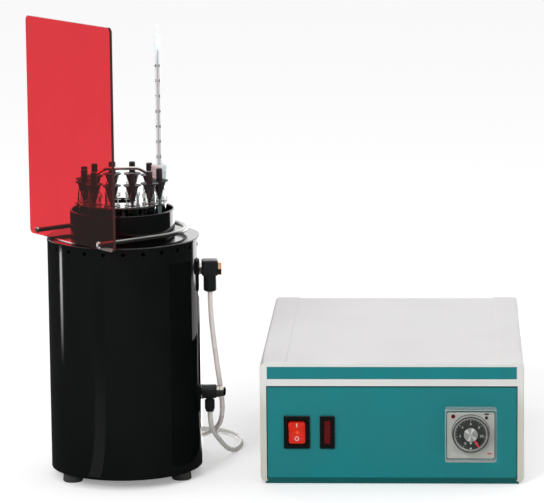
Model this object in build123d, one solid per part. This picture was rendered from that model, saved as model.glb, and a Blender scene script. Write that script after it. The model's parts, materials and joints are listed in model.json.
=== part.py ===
from build123d import *
import math
import os

# UV digester: a digestion tower with its sample rack, eye shield and cooling hoses,
# and the control unit that stands beside it. All sizes are in millimetres.
# The part's frame has +X to the right, +Y to the back and +Z up; the bench is z = 0.

# Where the two units stand
TOWER_X = -152.0
TOWER_Y = -95.0
TOWER_TURN = 5.0
CONTROL_X = 117.0
CONTROL_Y = -142.0

# Fits and gaps
SLIP = 0.2
REST_GAP = 0.3
RUNNING = 0.05
SHEET = 1.5

# Tower shell; the tower is drawn about its own axis, fittings on +X, front on -Y
HOUSING_R = 76.2
HOUSING_WALL = 1.5
FOOT_R = 10.0
FOOT_HEIGHT = 10.0
FOOT_CIRCLE_R = 63.0
FOOT_ANGLES = (-150.0, -30.0, 90.0)
LID_TOP = 244.3
LID_THICK = 3.0
LID_LIP = 0.4
LID_EDGE_R = 1.0
LID_SPIGOT = 2.5
LID_SPIGOT_WALL = 2.0
VENT_COUNT = 24
VENT_R = 2.0
VENT_BELOW_LID = 6.6
BASE_THICK = 3.0
STANDOFF_R = 5.0
STANDOFF_ANGLES = (30.0, 150.0, 270.0)
INTAKE_HOLE_R = 3.0
INTAKE_RING_STEP = 9.5
INTAKE_RING_COUNT = 2
INTAKE_HOLES = 6

# Collar and double-walled cooling jacket around the sample well
WELL_R = 50.0
COLLAR_WALL = 2.0
COLLAR_TOP = 272.0
COLLAR_FLANGE_R = 58.0
COLLAR_FLANGE_THICK = 3.0
JACKET_R = 62.0
JACKET_WALL = 2.0
JACKET_BOTTOM = 70.0
SHELF_TOP = 166.0
SHELF_THICK = 6.0
SHELF_HOLE_R = 13.5
PORT_R = 8.0
PORT_BORE_R = 1.8
PORT_GAP = 0.5

# Lamp
LAMP_R = 9.0
LAMP_TOP = 262.0
LAMP_BASE_R = 10.5
LAMP_BASE_TOP = 178.0
LAMP_WALL = 1.2
SOCKET_R = 18.0
SOCKET_HEIGHT = 24.0
SOCKET_FLOOR = 5.0

# Fan in the tower's base
FAN_SIZE = 60.0
FAN_DEPTH = 16.0
FAN_BORE_R = 28.6
FAN_CORNER_R = 3.5
FAN_HOLE_PITCH = 50.0
FAN_HOLE_R = 2.1
FAN_MOTOR_R = 11.5
FAN_MOTOR_HEIGHT = 4.0
FAN_STRUT = 3.0
FAN_HUB_R = 12.5
FAN_BLADES = 7
FAN_BLADE_R = 27.6
FAN_BLADE_THICK = 1.2
FAN_BLADE_PITCH = 38.0
FAN_SHAFT_R = 1.5
FAN_TOP_GAP = 0.8

# Rack and what stands in it
TUBE_COUNT = 12
TUBE_CIRCLE_R = 38.3
TUBE_FIRST_ANGLE = 15.0
TUBE_R = 6.5
TUBE_WALL = 1.0
TUBE_BOTTOM = 175.0
TUBE_RIM = 293.0
TUBE_SHOULDER = 3.5
TUBE_LIP = 0.8
BEAD_R = 7.8
BEAD_HEIGHT = 2.0
RACK_TOP = 279.7
RACK_PLATE_THICK = 1.5
RACK_R = 46.8
RACK_HOLE_GAP = 0.4
RACK_CENTRE_R = 16.0
RACK_ROD_R = 2.0
RACK_ROD_CIRCLE_R = 24.0
RACK_ROD_ANGLES = (90.0, 210.0, 330.0)
RACK_GUIDE_Z = 190.0
HANDLE_R = 1.7
HANDLE_HALF = 27.0
HANDLE_TOP_HALF = 16.0
HANDLE_TOP = 312.0
HANDLE_SHOULDER = 306.0
HANDLE_SHOULDER_BEND_R = 9.0
HANDLE_TOP_BEND_R = 11.0
HANDLE_FOOT_R = 3.4
HANDLE_FOOT_HEIGHT = 1.8

# Stoppers: a cone, a dished flange and a finger grip
STOPPER_SEAT_GAP = 0.3
CONE_TOP = 299.3
CONE_TOP_R = 6.5
CONE_BOTTOM = 284.0
CONE_BOTTOM_R = 1.85
STOPPER_TIP = 281.6
STOPPER_TIP_R = 1.2
FLANGE_R = 8.75
FLANGE_EDGE_Z = 301.2
FLANGE_THICK = 0.8
FLANGE_DISH = 1.2
FINGER_R = 3.1
FINGER_TOP = 313.0
FINGER_EDGE = 0.6

# Thermometer and its bush
BUSH_R = 7.75
BUSH_BOTTOM = 300.0
BUSH_TOP = 314.0
BUSH_PLUG_BOTTOM = 291.5
THERMO_R = 2.9
THERMO_BOTTOM = 185.0
THERMO_BULB_R = 2.3
THERMO_BULB_TOP = 199.0
THERMO_SHOULDER = 444.0
THERMO_TOP = 455.5
THERMO_NECK_R = 1.2
THERMO_BUTTON_R = 2.0

# Eye shield on its U-shaped rod
SHIELD_ANGLE = -145.2
SHIELD_DISTANCE = 64.7
SHIELD_THICK = 3.0
SHIELD_WIDTH = 148.0
SHIELD_SIDE_OFFSET = 5.3
SHIELD_BOTTOM = 245.3
SHIELD_TOP = 465.0
SHIELD_CORNER_R = 5.0
ROD_R = 2.5
ROD_Z = 250.0
ROD_BEND_OFFSET = 9.4
SHIELD_SCREW_R = 1.5
SHIELD_SCREW_HEAD_R = 2.8
SHIELD_SCREW_HEAD = 1.7
SHIELD_SCREW_DEPTH = 8.0
SHIELD_WASHER_R = 3.4
SHIELD_WASHER = 0.5
HEX_ACROSS_FLATS = 2.0
HEX_DEPTH = 1.0

# Hose fittings on the tower's side
UPPER_Z = 208.9
LOWER_Z = 82.4
NIPPLE_R = 4.0
NIPPLE_WASHER_R = 6.5
UPPER_BODY_NEAR = 77.9
UPPER_BODY_FAR = 94.5
UPPER_BODY_HALF = 7.6
UPPER_BODY_TOP = 218.0
UPPER_BODY_BOTTOM = 202.4
UPPER_BODY_ROUND = 1.6
UPPER_BODY_CHAMFER = 1.2
UPPER_SHANK_R = 6.5
UPPER_SHANK_BOTTOM = 186.0
UPPER_SHANK_EDGE = 1.2
UPPER_SCREW_FLATS = 12.6
UPPER_SCREW_END = 97.8
UPPER_SCREW_SHANK_R = 3.0
SCREW_CORNER_CUT = 1.11
LOWER_BODY_R = 7.1
LOWER_BODY_FAR = 91.1
LOWER_BODY_ROUND = 0.8
LOWER_FLANGE_R = 7.6
LOWER_FLANGE_THICK = 1.2
LOWER_COLLAR_R = 6.4
LOWER_COLLAR_FAR = 94.5
LOWER_COLLAR_EDGE = 0.4
DOME_NUT_R = 5.4
DOME_NUT_FAR = 100.9
DOME_NUT_ROUND = 3.0
LOWER_BRANCH_X = 84.4
LOWER_BRANCH_R = 3.4
LOWER_BRANCH_BOTTOM = 69.0
HOSE_NUT_R = 5.0
HOSE_NUT_TOP = 74.6
HOSE_NUT_BOTTOM = 62.0
HOSE_NUT_TAIL_R = 4.2
HOSE_NUT_TAIL = 2.4
HOSE_NUT_EDGE = 1.0
NUT_FLATS = 8
NUT_CORNER_CUT = 1.02

# Cooling hoses, each a free hose with its put-away length in a coil behind the tower
HOSE_R = 2.5
HOSE_REST = 2.6
HOSE_SEAT = 8.0
HOSE_FIT = 0.1
COIL_INNER_TURN_R = 25.0
COIL_TURNS_ACROSS = 2
COIL_TURNS_HIGH = 3
UPPER_COIL = (0.0, 130.0)
LOWER_COIL = (20.0, 215.0)
UPPER_ROUTE = (
    (86.2, 0.0, 194.0), (86.2, 0.0, 167.0), (89.2, 2.6, 135.0), (93.4, 5.8, 101.0), (97.6, 13.5, 70.0),
    (97.2, 27.0, 46.5), (90.5, 48.0, 31.0), (83.0, 74.0, 21.0), (72.0, 95.0, 13.0), (54.0, 105.0, 6.0),
    (34.0, 103.0, 2.6), (12.0, 100.0, 2.6),
)
LOWER_ROUTE = (
    (84.4, 0.0, 69.0), (84.4, 0.0, 49.5), (89.0, 14.0, 35.5), (96.0, 34.0, 22.0), (103.5, 53.0, 9.5),
    (111.0, 74.0, 2.6), (118.0, 95.0, 2.6), (119.5, 120.0, 2.6), (113.0, 147.0, 2.6),
    (98.0, 166.0, 2.6), (76.0, 175.5, 2.6), (52.0, 182.0, 2.6), (32.0, 185.0, 2.6),
)
RUN_SHARE = 0.45

# Round sockets of the lamp cable, one on each unit
SOCKET_FLANGE_R = 12.5
SOCKET_FLANGE = 2.0
SOCKET_BODY_R = 9.0
SOCKET_RECESS_R = 7.5
SOCKET_RECESS = 12.0
SOCKET_LENGTH = 16.0
SOCKET_PIN_R = 1.0
SOCKET_PIN_CIRCLE_R = 5.0
SOCKET_PIN_LENGTH = 9.0
SOCKET_PINS = 4
TOWER_SOCKET_Z = 42.0
TOWER_SOCKET_ANGLE = 90.0 - TOWER_TURN

# Control unit; drawn about the middle of its width, with y = 0 at its front
CASE_WIDTH = 262.2
CASE_DEPTH = 340.0
CASE_TOP = 122.6
CASE_BOTTOM = 2.5
CASE_CORNER_R = 4.0
BAND_WIDTH = 25.0
BAND_RISE = 1.0
BAND_SLOPE = 1.5
CASE_FOOT_R = 8.0
CASE_FOOT_FROM_SIDE = 26.1
CASE_FOOT_FROM_END = 30.0
FRAME_DEPTH = 8.0
FRAME_SIDE = 6.3
FRAME_CORNER_R = 6.0
FRAME_EDGE_R = 1.0
OPENING_BELOW_TOP = 22.6
STRIP_MARGIN = 7.1
STRIP_BELOW_TOP = 3.0
STRIP_HEIGHT = 12.5
STRIP_POCKET = 2.0
STRIP_SUNK = 0.4
BAR_STEP_HEIGHT = 4.0
BAR_STEP = 0.6
PANEL_GAP = 0.8
PANEL_TOP_GAP = 1.4
PANEL_FACE = 1.2
PANEL_THICK = 2.0
LIP_TOP = 6.8
LIP_BOTTOM = 0.3
LIP_SET_BACK = 1.0
LIP_THICK = 1.8
LIP_FORWARD = 0.4
LIP_OVERHANG = 1.5
LIP_FLANGE_TOP = 2.3
TRAY_FLANGE_HEIGHT = 16.0
TRAY_FLANGE_FRONT = 30.0
TRAY_FLANGE_BACK = 20.0
BACK_VENTS = 12
BACK_VENT_WIDTH = 3.0
BACK_VENT_HEIGHT = 40.0
BACK_VENT_PITCH = 7.0
BACK_VENT_X = -30.0
BACK_VENT_Z = 70.0
CASE_SCREW_FROM_END = 60.0
CASE_SCREW_Z = 12.0
CASE_SCREW_R = 1.5
CASE_SCREW_HEAD_R = 3.0
CASE_SCREW_LENGTH = 8.0
CASE_SCREW_DRIVE = 1.0

# Switch and signal lamp
BEZEL_HEIGHT = 33.3
BEZEL_Z = 53.0
BEZEL_PROUD = 2.5
BEZEL_BODY_DEPTH = 22.0
BEZEL_BODY_HEIGHT = 30.0
BEZEL_CORNER_R = 1.0
BEZEL_CHAMFER = 0.5
ROCKER_FROM_LEFT = 36.5
ROCKER_BEZEL_WIDTH = 25.9
ROCKER_BODY_WIDTH = 22.2
ROCKER_WIDTH = 17.0
ROCKER_HEIGHT = 22.6
ROCKER_SWING_GAP = 1.2
ROCKER_CORNER_R = 2.2
ROCKER_EDGE_R = 0.5
ROCKER_GAP = 0.35
ROCKER_PIN_HOLD = 0.6
ROCKER_TILT = 9.0
ROCKER_PIVOT_DEPTH = 4.4
ROCKER_TIP_OUT = 5.0
ROCKER_MIDDLE_OUT = 2.9
ROCKER_SIDE = 5.0
ROCKER_BACK = 5.5
ROCKER_PIN_R = 1.5
SIGNAL_FROM_ROCKER = 30.35
SIGNAL_BEZEL_WIDTH = 14.7
SIGNAL_BODY_WIDTH = 12.4
SIGNAL_LENS_WIDTH = 7.0
SIGNAL_LENS_HEIGHT = 24.2
SIGNAL_LENS_CHAMFER = 0.6
SIGNAL_LENS_SUNK = 0.7
SIGNAL_LENS_THICK = 3.0

# Timer
TIMER_FROM_RIGHT = 52.7
TIMER_Z = 50.4
TIMER_FLANGE = 48.0
TIMER_FLANGE_THICK = 1.8
TIMER_CORNER_R = 1.5
TIMER_BODY = 44.8
TIMER_BODY_DEPTH = 60.0
TIMER_FACE = 46.8
TIMER_FACE_THICK = 0.8
TIMER_FACE_OPENING_R = 19.1
DIAL_ABOVE_MIDDLE = 2.6
DIAL_DRUM_R = 16.4
DIAL_OUT = 9.0
TIMER_DISC_R = 18.45
TIMER_DISC_OUT = 11.5
TIMER_DISC_WALL = 1.4
TIMER_DISC_GAP = 0.5
TIMER_DISC_EDGE_R = 1.0
TIMER_KNOB_R = 6.9
TIMER_KNOB_HEIGHT = 0.6
TIMER_KNOB_EDGE = 0.3
TIMER_SHAFT_R = 2.0
TIMER_SHAFT_DEPTH = 8.0
COVER_WIDTH = 50.8
COVER_HEIGHT = 53.6
COVER_Z = 52.2
COVER_DEPTH = 14.0
COVER_WALL = 1.0
COVER_CORNER_R = 2.0
COVER_EDGE_R = 0.9

# Mains inlet at the back
INLET_X = 85.0
INLET_Z = 45.0
INLET_FLANGE = (30.0, 24.0)
INLET_BODY = (27.0, 20.4)
INLET_RECESS = (24.2, 16.6)
INLET_DEPTH = 22.0
INLET_RECESS_DEPTH = 17.0
INLET_BLADE = (2.0, 4.0)
INLET_BLADE_LENGTH = 14.0
INLET_BLADE_PITCH = 7.0
INLET_BLADE_OFFSET = 2.0
OUTLET_X = -85.0
OUTLET_Z = 45.0

# Lamp ballast inside the control unit
BALLAST_X = -52.0
BALLAST_Y = 200.0
BALLAST_CORE = (78.0, 52.0, 66.0)
BALLAST_LEG = 13.0
BALLAST_WINDING_OVER = 9.0
BALLAST_FOOT = 10.0
BALLAST_FOOT_THICK = 2.0

# Heights and radii that follow from the sizes above
LID_UNDER = LID_TOP - LID_THICK
BASE_TOP = FOOT_HEIGHT + BASE_THICK
HOUSING_INNER_R = HOUSING_R - HOUSING_WALL
COLLAR_R = WELL_R + COLLAR_WALL
COLLAR_BOTTOM = LID_UNDER - COLLAR_FLANGE_THICK
PORT_FACE = HOUSING_INNER_R - PORT_GAP
SHELF_UNDER = SHELF_TOP - SHELF_THICK
LAMP_BOTTOM = SHELF_UNDER - SOCKET_HEIGHT + SOCKET_FLOOR
RACK_UNDER = RACK_TOP - RACK_PLATE_THICK
LEG_V = COLLAR_R + SLIP + ROD_R
HOUSING_FACE = HOUSING_R + SLIP
UPPER_AXIS_X = (UPPER_BODY_NEAR + UPPER_BODY_FAR) / 2
LID_RIM_R = HOUSING_R + LID_LIP
PANEL_OPENING = CASE_WIDTH - 2 * FRAME_SIDE
PANEL_OPENING_TOP = CASE_TOP - OPENING_BELOW_TOP
PANEL_WIDTH = PANEL_OPENING - 2 * PANEL_GAP
PANEL_TOP = PANEL_OPENING_TOP - PANEL_TOP_GAP
LIP_FLANGE_WIDTH = PANEL_OPENING + 2 * LIP_OVERHANG
STRIP_WIDTH = CASE_WIDTH - 2 * STRIP_MARGIN
STRIP_TOP = CASE_TOP - STRIP_BELOW_TOP
STRIP_BOTTOM = STRIP_TOP - STRIP_HEIGHT
CASE_FOOT_X = CASE_WIDTH / 2 - CASE_FOOT_FROM_SIDE
CASE_FOOT_YS = (CASE_FOOT_FROM_END, CASE_DEPTH - CASE_FOOT_FROM_END)
CASE_SCREW_YS = (CASE_SCREW_FROM_END, CASE_DEPTH - CASE_SCREW_FROM_END)
ROCKER_X = ROCKER_FROM_LEFT - CASE_WIDTH / 2
SIGNAL_X = ROCKER_X + SIGNAL_FROM_ROCKER
TIMER_X = CASE_WIDTH / 2 - TIMER_FROM_RIGHT
DIAL_Z = TIMER_Z + DIAL_ABOVE_MIDDLE
FRONT_FACE_Y = PANEL_FACE - BEZEL_PROUD
TIMER_FLANGE_Y = PANEL_FACE - TIMER_FLANGE_THICK
TIMER_FACE_Y = TIMER_FLANGE_Y - TIMER_FACE_THICK
DIAL_Y = PANEL_FACE - DIAL_OUT
TIMER_DISC_Y = PANEL_FACE - TIMER_DISC_OUT

TOWER = Pos(TOWER_X, TOWER_Y, 0) * Rot(0, 0, TOWER_TURN)
CONTROL = Pos(CONTROL_X, CONTROL_Y, 0)


def turned(points, arcs=()):
    """Solid of revolution about Z from (radius, height) points; arcs maps a point's index to the
    middle point of an arc that runs from it to the next point."""
    lookup = dict(arcs)
    edges = []
    for index, start in enumerate(points):
        end = points[(index + 1) % len(points)]
        here = (start[0], 0, start[1])
        there = (end[0], 0, end[1])
        if index in lookup:
            middle = lookup[index]
            edges.append(ThreePointArc(here, (middle[0], 0, middle[1]), there))
        else:
            edges.append(Line(here, there))
    profile = make_face(edges)
    return revolve(profile, Axis.Z, 360)


def ring(outer, inner, bottom, top):
    """Ring about Z between two radii and two heights."""
    return turned([(inner, bottom), (outer, bottom), (outer, top), (inner, top)])


def rod(radius, bottom, top):
    """Upright round bar on the Z axis."""
    return Pos(0, 0, bottom) * Cylinder(radius, top - bottom, align=(Align.CENTER, Align.CENTER, Align.MIN))


def rod_x(radius, near, far, height, side=0.0):
    """Round bar along X at a height and a sideways place."""
    bar = Cylinder(radius, far - near, align=(Align.CENTER, Align.CENTER, Align.MIN))
    return Pos(near, side, height) * Rot(0, 90, 0) * bar


def rod_y(radius, near, far, x, z):
    """Round bar along Y at a place across the front."""
    bar = Cylinder(radius, far - near, align=(Align.CENTER, Align.CENTER, Align.MIN))
    return Pos(x, near, z) * Rot(-90, 0, 0) * bar


def block(x_low, x_high, y_low, y_high, z_low, z_high):
    """Box between its low and high corners."""
    size = Box(x_high - x_low, y_high - y_low, z_high - z_low, align=(Align.MIN, Align.MIN, Align.MIN))
    return Pos(x_low, y_low, z_low) * size


def slab_y(width, height, near, far, x, z, corner=0.0):
    """Upright plate in the front plane, between two depths, with its four corners rounded."""
    outline = RectangleRounded(width, height, corner) if corner else Rectangle(width, height)
    plate = extrude(outline, far - near)
    return Pos(x, far, z) * Rot(90, 0, 0) * plate


def hexagon(flats, length):
    """Hexagonal bar along Z, measured across its flats."""
    return extrude(RegularPolygon(flats / math.sqrt(3), 6), length)


def around(radius, angles):
    """Places on a circle, each turned to face outwards."""
    return [Rot(0, 0, angle) * Pos(radius, 0, 0) for angle in angles]


def evenly(count, first=0.0):
    """Angles of a full circle of equal steps."""
    return [first + 360.0 * index / count for index in range(count)]


def cone_radius(height):
    """Radius of a stopper's cone at a height."""
    share = (height - CONE_BOTTOM) / (CONE_TOP - CONE_BOTTOM)
    return CONE_BOTTOM_R + share * (CONE_TOP_R - CONE_BOTTOM_R)


# Tower shell

def make_tower_feet():
    """Three rubber feet with a sunk screw seat."""
    foot = turned([(4.0, 4.0), (4.0, 0), (FOOT_R - 1.0, 0), (FOOT_R, 1.0), (FOOT_R - 0.8, FOOT_HEIGHT),
                   (0, FOOT_HEIGHT), (0, 4.0)])
    return Compound(children=[place * foot for place in around(FOOT_CIRCLE_R, FOOT_ANGLES)])


def make_base_plate():
    """Round floor of the tower with the fan's air intake and the jacket's three standoffs."""
    radius = HOUSING_INNER_R - SLIP
    plate = rod(radius, FOOT_HEIGHT, BASE_TOP)
    holes = [rod(INTAKE_HOLE_R, 0, BASE_TOP + 1)]
    for number in range(1, INTAKE_RING_COUNT + 1):
        places = around(INTAKE_RING_STEP * number, evenly(INTAKE_HOLES * number))
        holes += [place * rod(INTAKE_HOLE_R, 0, BASE_TOP + 1) for place in places]
    plate = plate - holes
    middle = (WELL_R + JACKET_R) / 2
    posts = [place * rod(STANDOFF_R, BASE_TOP - 1, JACKET_BOTTOM) for place in around(middle, STANDOFF_ANGLES)]
    return plate + posts


def make_tower_housing():
    """Round outer casing with its row of vent holes and the holes for fittings and socket."""
    shell = ring(HOUSING_R, HOUSING_INNER_R, FOOT_HEIGHT, LID_UNDER)
    vent = rod_x(VENT_R, HOUSING_INNER_R - 5, HOUSING_R + 5, LID_TOP - VENT_BELOW_LID)
    cuts = [Rot(0, 0, angle) * vent for angle in evenly(VENT_COUNT)]
    for height in (UPPER_Z, LOWER_Z):
        cuts.append(rod_x(NIPPLE_R + SLIP, HOUSING_INNER_R - 5, HOUSING_R + 5, height))
    socket_hole = rod_x(SOCKET_BODY_R + SLIP, HOUSING_INNER_R - 8, HOUSING_R + 5, TOWER_SOCKET_Z)
    cuts.append(Rot(0, 0, TOWER_SOCKET_ANGLE) * socket_hole)
    return shell - cuts


def make_tower_lid():
    """Flat ring lid with a rounded edge and a short spigot inside the casing."""
    lid = ring(LID_RIM_R, COLLAR_R + SLIP, LID_UNDER, LID_TOP)
    lid = fillet(lid.edges().group_by(Axis.Z)[-1].sort_by(SortBy.RADIUS)[-1], LID_EDGE_R)
    spigot_r = HOUSING_INNER_R - SLIP
    return lid + ring(spigot_r, spigot_r - LID_SPIGOT_WALL, LID_UNDER - LID_SPIGOT, LID_UNDER + LID_THICK / 2)


def make_collar():
    """Collar around the well, clamped under the lid by its flange, with a rolled rim."""
    rim = COLLAR_TOP - COLLAR_WALL / 2
    points = [(WELL_R, COLLAR_BOTTOM), (COLLAR_FLANGE_R, COLLAR_BOTTOM), (COLLAR_FLANGE_R, LID_UNDER),
              (COLLAR_R, LID_UNDER), (COLLAR_R, rim), (WELL_R, rim)]
    return turned(points, arcs={4: (WELL_R + COLLAR_WALL / 2, COLLAR_TOP)})


def make_cooling_jacket():
    """Double-walled jacket: water runs between its walls, and its shelf carries lamp and rack."""
    body = ring(JACKET_R, WELL_R, JACKET_BOTTOM, COLLAR_BOTTOM)
    shelf = ring(WELL_R + 1, SHELF_HOLE_R, SHELF_UNDER, SHELF_TOP)
    ports = [rod_x(PORT_R, JACKET_R - 1, PORT_FACE, height) for height in (UPPER_Z, LOWER_Z)]
    water = ring(JACKET_R - JACKET_WALL, WELL_R + JACKET_WALL, JACKET_BOTTOM + 3.0, COLLAR_BOTTOM - 3.0)
    bores = [rod_x(PORT_BORE_R, JACKET_R - 5, HOUSING_R, height) for height in (UPPER_Z, LOWER_Z)]
    return (body + shelf + ports) - water - bores


def make_lamp_socket():
    """Ceramic lamp socket under the shelf."""
    bottom = SHELF_UNDER - SOCKET_HEIGHT
    neck = LAMP_BASE_R + SLIP
    return turned([(0, bottom), (SOCKET_R - 3, bottom), (SOCKET_R, bottom + 6), (SOCKET_R, SHELF_UNDER),
                   (neck, SHELF_UNDER), (neck, LAMP_BOTTOM), (0, LAMP_BOTTOM)])


def make_uv_lamp():
    """Quartz lamp with a ceramic base, standing in the middle of the well."""
    shoulder = LAMP_TOP - LAMP_R
    inner = LAMP_R - LAMP_WALL
    diagonal = math.sqrt(0.5)
    points = [(0, LAMP_BOTTOM), (LAMP_BASE_R, LAMP_BOTTOM), (LAMP_BASE_R, LAMP_BASE_TOP - 2),
              (LAMP_BASE_R - 1, LAMP_BASE_TOP), (LAMP_R, LAMP_BASE_TOP), (LAMP_R, shoulder), (0, LAMP_TOP),
              (0, LAMP_TOP - LAMP_WALL), (inner, shoulder), (inner, LAMP_BASE_TOP), (0, LAMP_BASE_TOP)]
    arcs = {5: (LAMP_R * diagonal, shoulder + LAMP_R * diagonal),
            7: (inner * diagonal, shoulder + inner * diagonal)}
    return turned(points, arcs)


def make_round_socket():
    """Round cable socket with pins, opening on +X, its flange's back face at x = 0."""
    body = rod_x(SOCKET_BODY_R, SOCKET_FLANGE - SOCKET_LENGTH, SOCKET_FLANGE, 0)
    body += rod_x(SOCKET_FLANGE_R, 0, SOCKET_FLANGE, 0)
    floor = SOCKET_FLANGE - SOCKET_RECESS
    body -= rod_x(SOCKET_RECESS_R, floor, SOCKET_FLANGE + 1, 0)
    pin = rod_x(SOCKET_PIN_R, floor - 1, floor + SOCKET_PIN_LENGTH, SOCKET_PIN_CIRCLE_R)
    return body + [Rot(angle, 0, 0) * pin for angle in evenly(SOCKET_PINS, 45.0)]


# Fan

def make_fan_frame():
    """Square fan frame with four mounting holes, struts and a bearing boss."""
    top = BASE_TOP + FAN_DEPTH
    frame = Pos(0, 0, BASE_TOP) * extrude(RectangleRounded(FAN_SIZE, FAN_SIZE, FAN_CORNER_R), FAN_DEPTH)
    frame -= rod(FAN_BORE_R, BASE_TOP - 1, top + 1)
    half = FAN_HOLE_PITCH / 2
    frame -= [Pos(x, y, 0) * rod(FAN_HOLE_R, BASE_TOP - 1, top + 1) for x in (-half, half) for y in (-half, half)]
    boss = rod(FAN_MOTOR_R, BASE_TOP, BASE_TOP + FAN_MOTOR_HEIGHT)
    strut = block(0, FAN_BORE_R + 1, -FAN_STRUT / 2, FAN_STRUT / 2, BASE_TOP, BASE_TOP + FAN_STRUT)
    frame += [boss] + [Rot(0, 0, angle) * strut for angle in evenly(4, 45.0)]
    return frame - rod(FAN_SHAFT_R + RUNNING, BASE_TOP - 1, top)


def make_fan_rotor():
    """Fan rotor: hub cup, pitched blades and a short shaft."""
    low = BASE_TOP + FAN_MOTOR_HEIGHT + 0.6
    high = BASE_TOP + FAN_DEPTH - FAN_TOP_GAP
    middle = (low + high) / 2
    span = high - low
    hub = rod(FAN_HUB_R, low, high)
    chord = (span - FAN_BLADE_THICK) / math.sin(math.radians(FAN_BLADE_PITCH)) * 0.94
    blade = Box(FAN_BLADE_R - FAN_HUB_R + 2, chord, FAN_BLADE_THICK, align=(Align.MIN, Align.CENTER, Align.CENTER))
    blade = Pos(FAN_HUB_R - 2, 0, middle) * Rot(FAN_BLADE_PITCH, 0, 0) * blade
    blades = [Rot(0, 0, angle) * blade for angle in evenly(FAN_BLADES)]
    tip = rod(FAN_BLADE_R, low, high)
    rotor = (hub + blades) & tip
    return rotor + rod(FAN_SHAFT_R, BASE_TOP + 0.5, low + 1)


# Hose fittings

def make_upper_nipple():
    """Bright nipple from the jacket's upper port through the casing to the elbow."""
    nipple = rod_x(NIPPLE_R, PORT_FACE, UPPER_BODY_NEAR, UPPER_Z)
    nipple += rod_x(NIPPLE_WASHER_R, HOUSING_FACE, UPPER_BODY_NEAR, UPPER_Z)
    return nipple - rod_x(PORT_BORE_R, PORT_FACE - 1, UPPER_BODY_NEAR + 1, UPPER_Z)


def make_upper_elbow():
    """Black elbow: a block with flats for nipple and screw, and a round shank that holds the hose."""
    half = UPPER_BODY_HALF
    body = block(UPPER_BODY_NEAR, UPPER_BODY_FAR, -half, half, UPPER_BODY_BOTTOM, UPPER_BODY_TOP)
    body = fillet(body.edges().filter_by(Axis.Z), UPPER_BODY_ROUND)
    body = chamfer(body.faces().sort_by(Axis.Z)[-1].edges(), UPPER_BODY_CHAMFER)
    body = chamfer(body.faces().sort_by(Axis.Z)[0].edges(), UPPER_BODY_CHAMFER)
    low = UPPER_SHANK_BOTTOM
    edge = UPPER_SHANK_EDGE
    shank = turned([(0, low), (UPPER_SHANK_R - edge, low), (UPPER_SHANK_R, low + edge), (UPPER_SHANK_R, UPPER_Z), (0, UPPER_Z)])
    seat = rod(HOSE_R + HOSE_FIT, low - 1, low + HOSE_SEAT)
    passage = rod(PORT_BORE_R, low, UPPER_Z)
    body += Pos(UPPER_AXIS_X, 0, 0) * shank
    body -= Pos(UPPER_AXIS_X, 0, 0) * (seat + passage)
    body -= rod_x(PORT_BORE_R, UPPER_BODY_NEAR - 1, UPPER_AXIS_X, UPPER_Z)
    return body - rod_x(UPPER_SCREW_SHANK_R + HOSE_FIT, UPPER_AXIS_X + 1, UPPER_BODY_FAR + 1, UPPER_Z)


def make_upper_screw():
    """Brass hexagon screw that closes the elbow."""
    head = Rot(0, 90, 0) * Rot(0, 0, 30) * hexagon(UPPER_SCREW_FLATS, UPPER_SCREW_END - UPPER_BODY_FAR)
    head = Pos(UPPER_BODY_FAR, 0, UPPER_Z) * head
    head &= rod_x(UPPER_SCREW_FLATS / 2 * SCREW_CORNER_CUT, UPPER_BODY_FAR, UPPER_SCREW_END, UPPER_Z)
    return head + rod_x(UPPER_SCREW_SHANK_R, UPPER_AXIS_X + 1.5, UPPER_BODY_FAR + 1, UPPER_Z)


def make_lower_fitting():
    """Black fitting flange-mounted on the casing, with a branch down to the hose nut."""
    body = rod_x(LOWER_BODY_R, HOUSING_FACE, LOWER_BODY_FAR, LOWER_Z)
    body = fillet(body.edges().group_by(Axis.X)[-1], LOWER_BODY_ROUND)
    body += rod_x(LOWER_FLANGE_R, HOUSING_FACE, HOUSING_FACE + LOWER_FLANGE_THICK, LOWER_Z)
    body += rod_x(NIPPLE_R, PORT_FACE, HOUSING_FACE + 1, LOWER_Z)
    body += Pos(LOWER_BRANCH_X, 0, 0) * rod(LOWER_BRANCH_R, LOWER_BRANCH_BOTTOM, LOWER_Z)
    body -= rod_x(PORT_BORE_R, PORT_FACE - 1, LOWER_BRANCH_X, LOWER_Z)
    passage = rod(PORT_BORE_R, LOWER_BRANCH_BOTTOM - 1, LOWER_Z)
    return body - Pos(LOWER_BRANCH_X, 0, 0) * passage


def make_lower_dome_nut():
    """Bright collar and domed cap nut on the end of the lower fitting."""
    height = DOME_NUT_FAR - LOWER_BODY_FAR
    collar = LOWER_COLLAR_FAR - LOWER_BODY_FAR
    side = height - DOME_NUT_ROUND
    crown = DOME_NUT_R - DOME_NUT_ROUND
    edge = LOWER_COLLAR_EDGE
    points = [(0, 0), (LOWER_COLLAR_R - edge, 0), (LOWER_COLLAR_R, edge), (LOWER_COLLAR_R, collar - edge),
              (LOWER_COLLAR_R - edge, collar), (DOME_NUT_R, collar), (DOME_NUT_R, side), (crown, height), (0, height)]
    diagonal = DOME_NUT_ROUND * math.sqrt(0.5)
    nut = turned(points, arcs={6: (crown + diagonal, side + diagonal)})
    return Pos(LOWER_BODY_FAR, 0, LOWER_Z) * Rot(0, 90, 0) * nut


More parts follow.
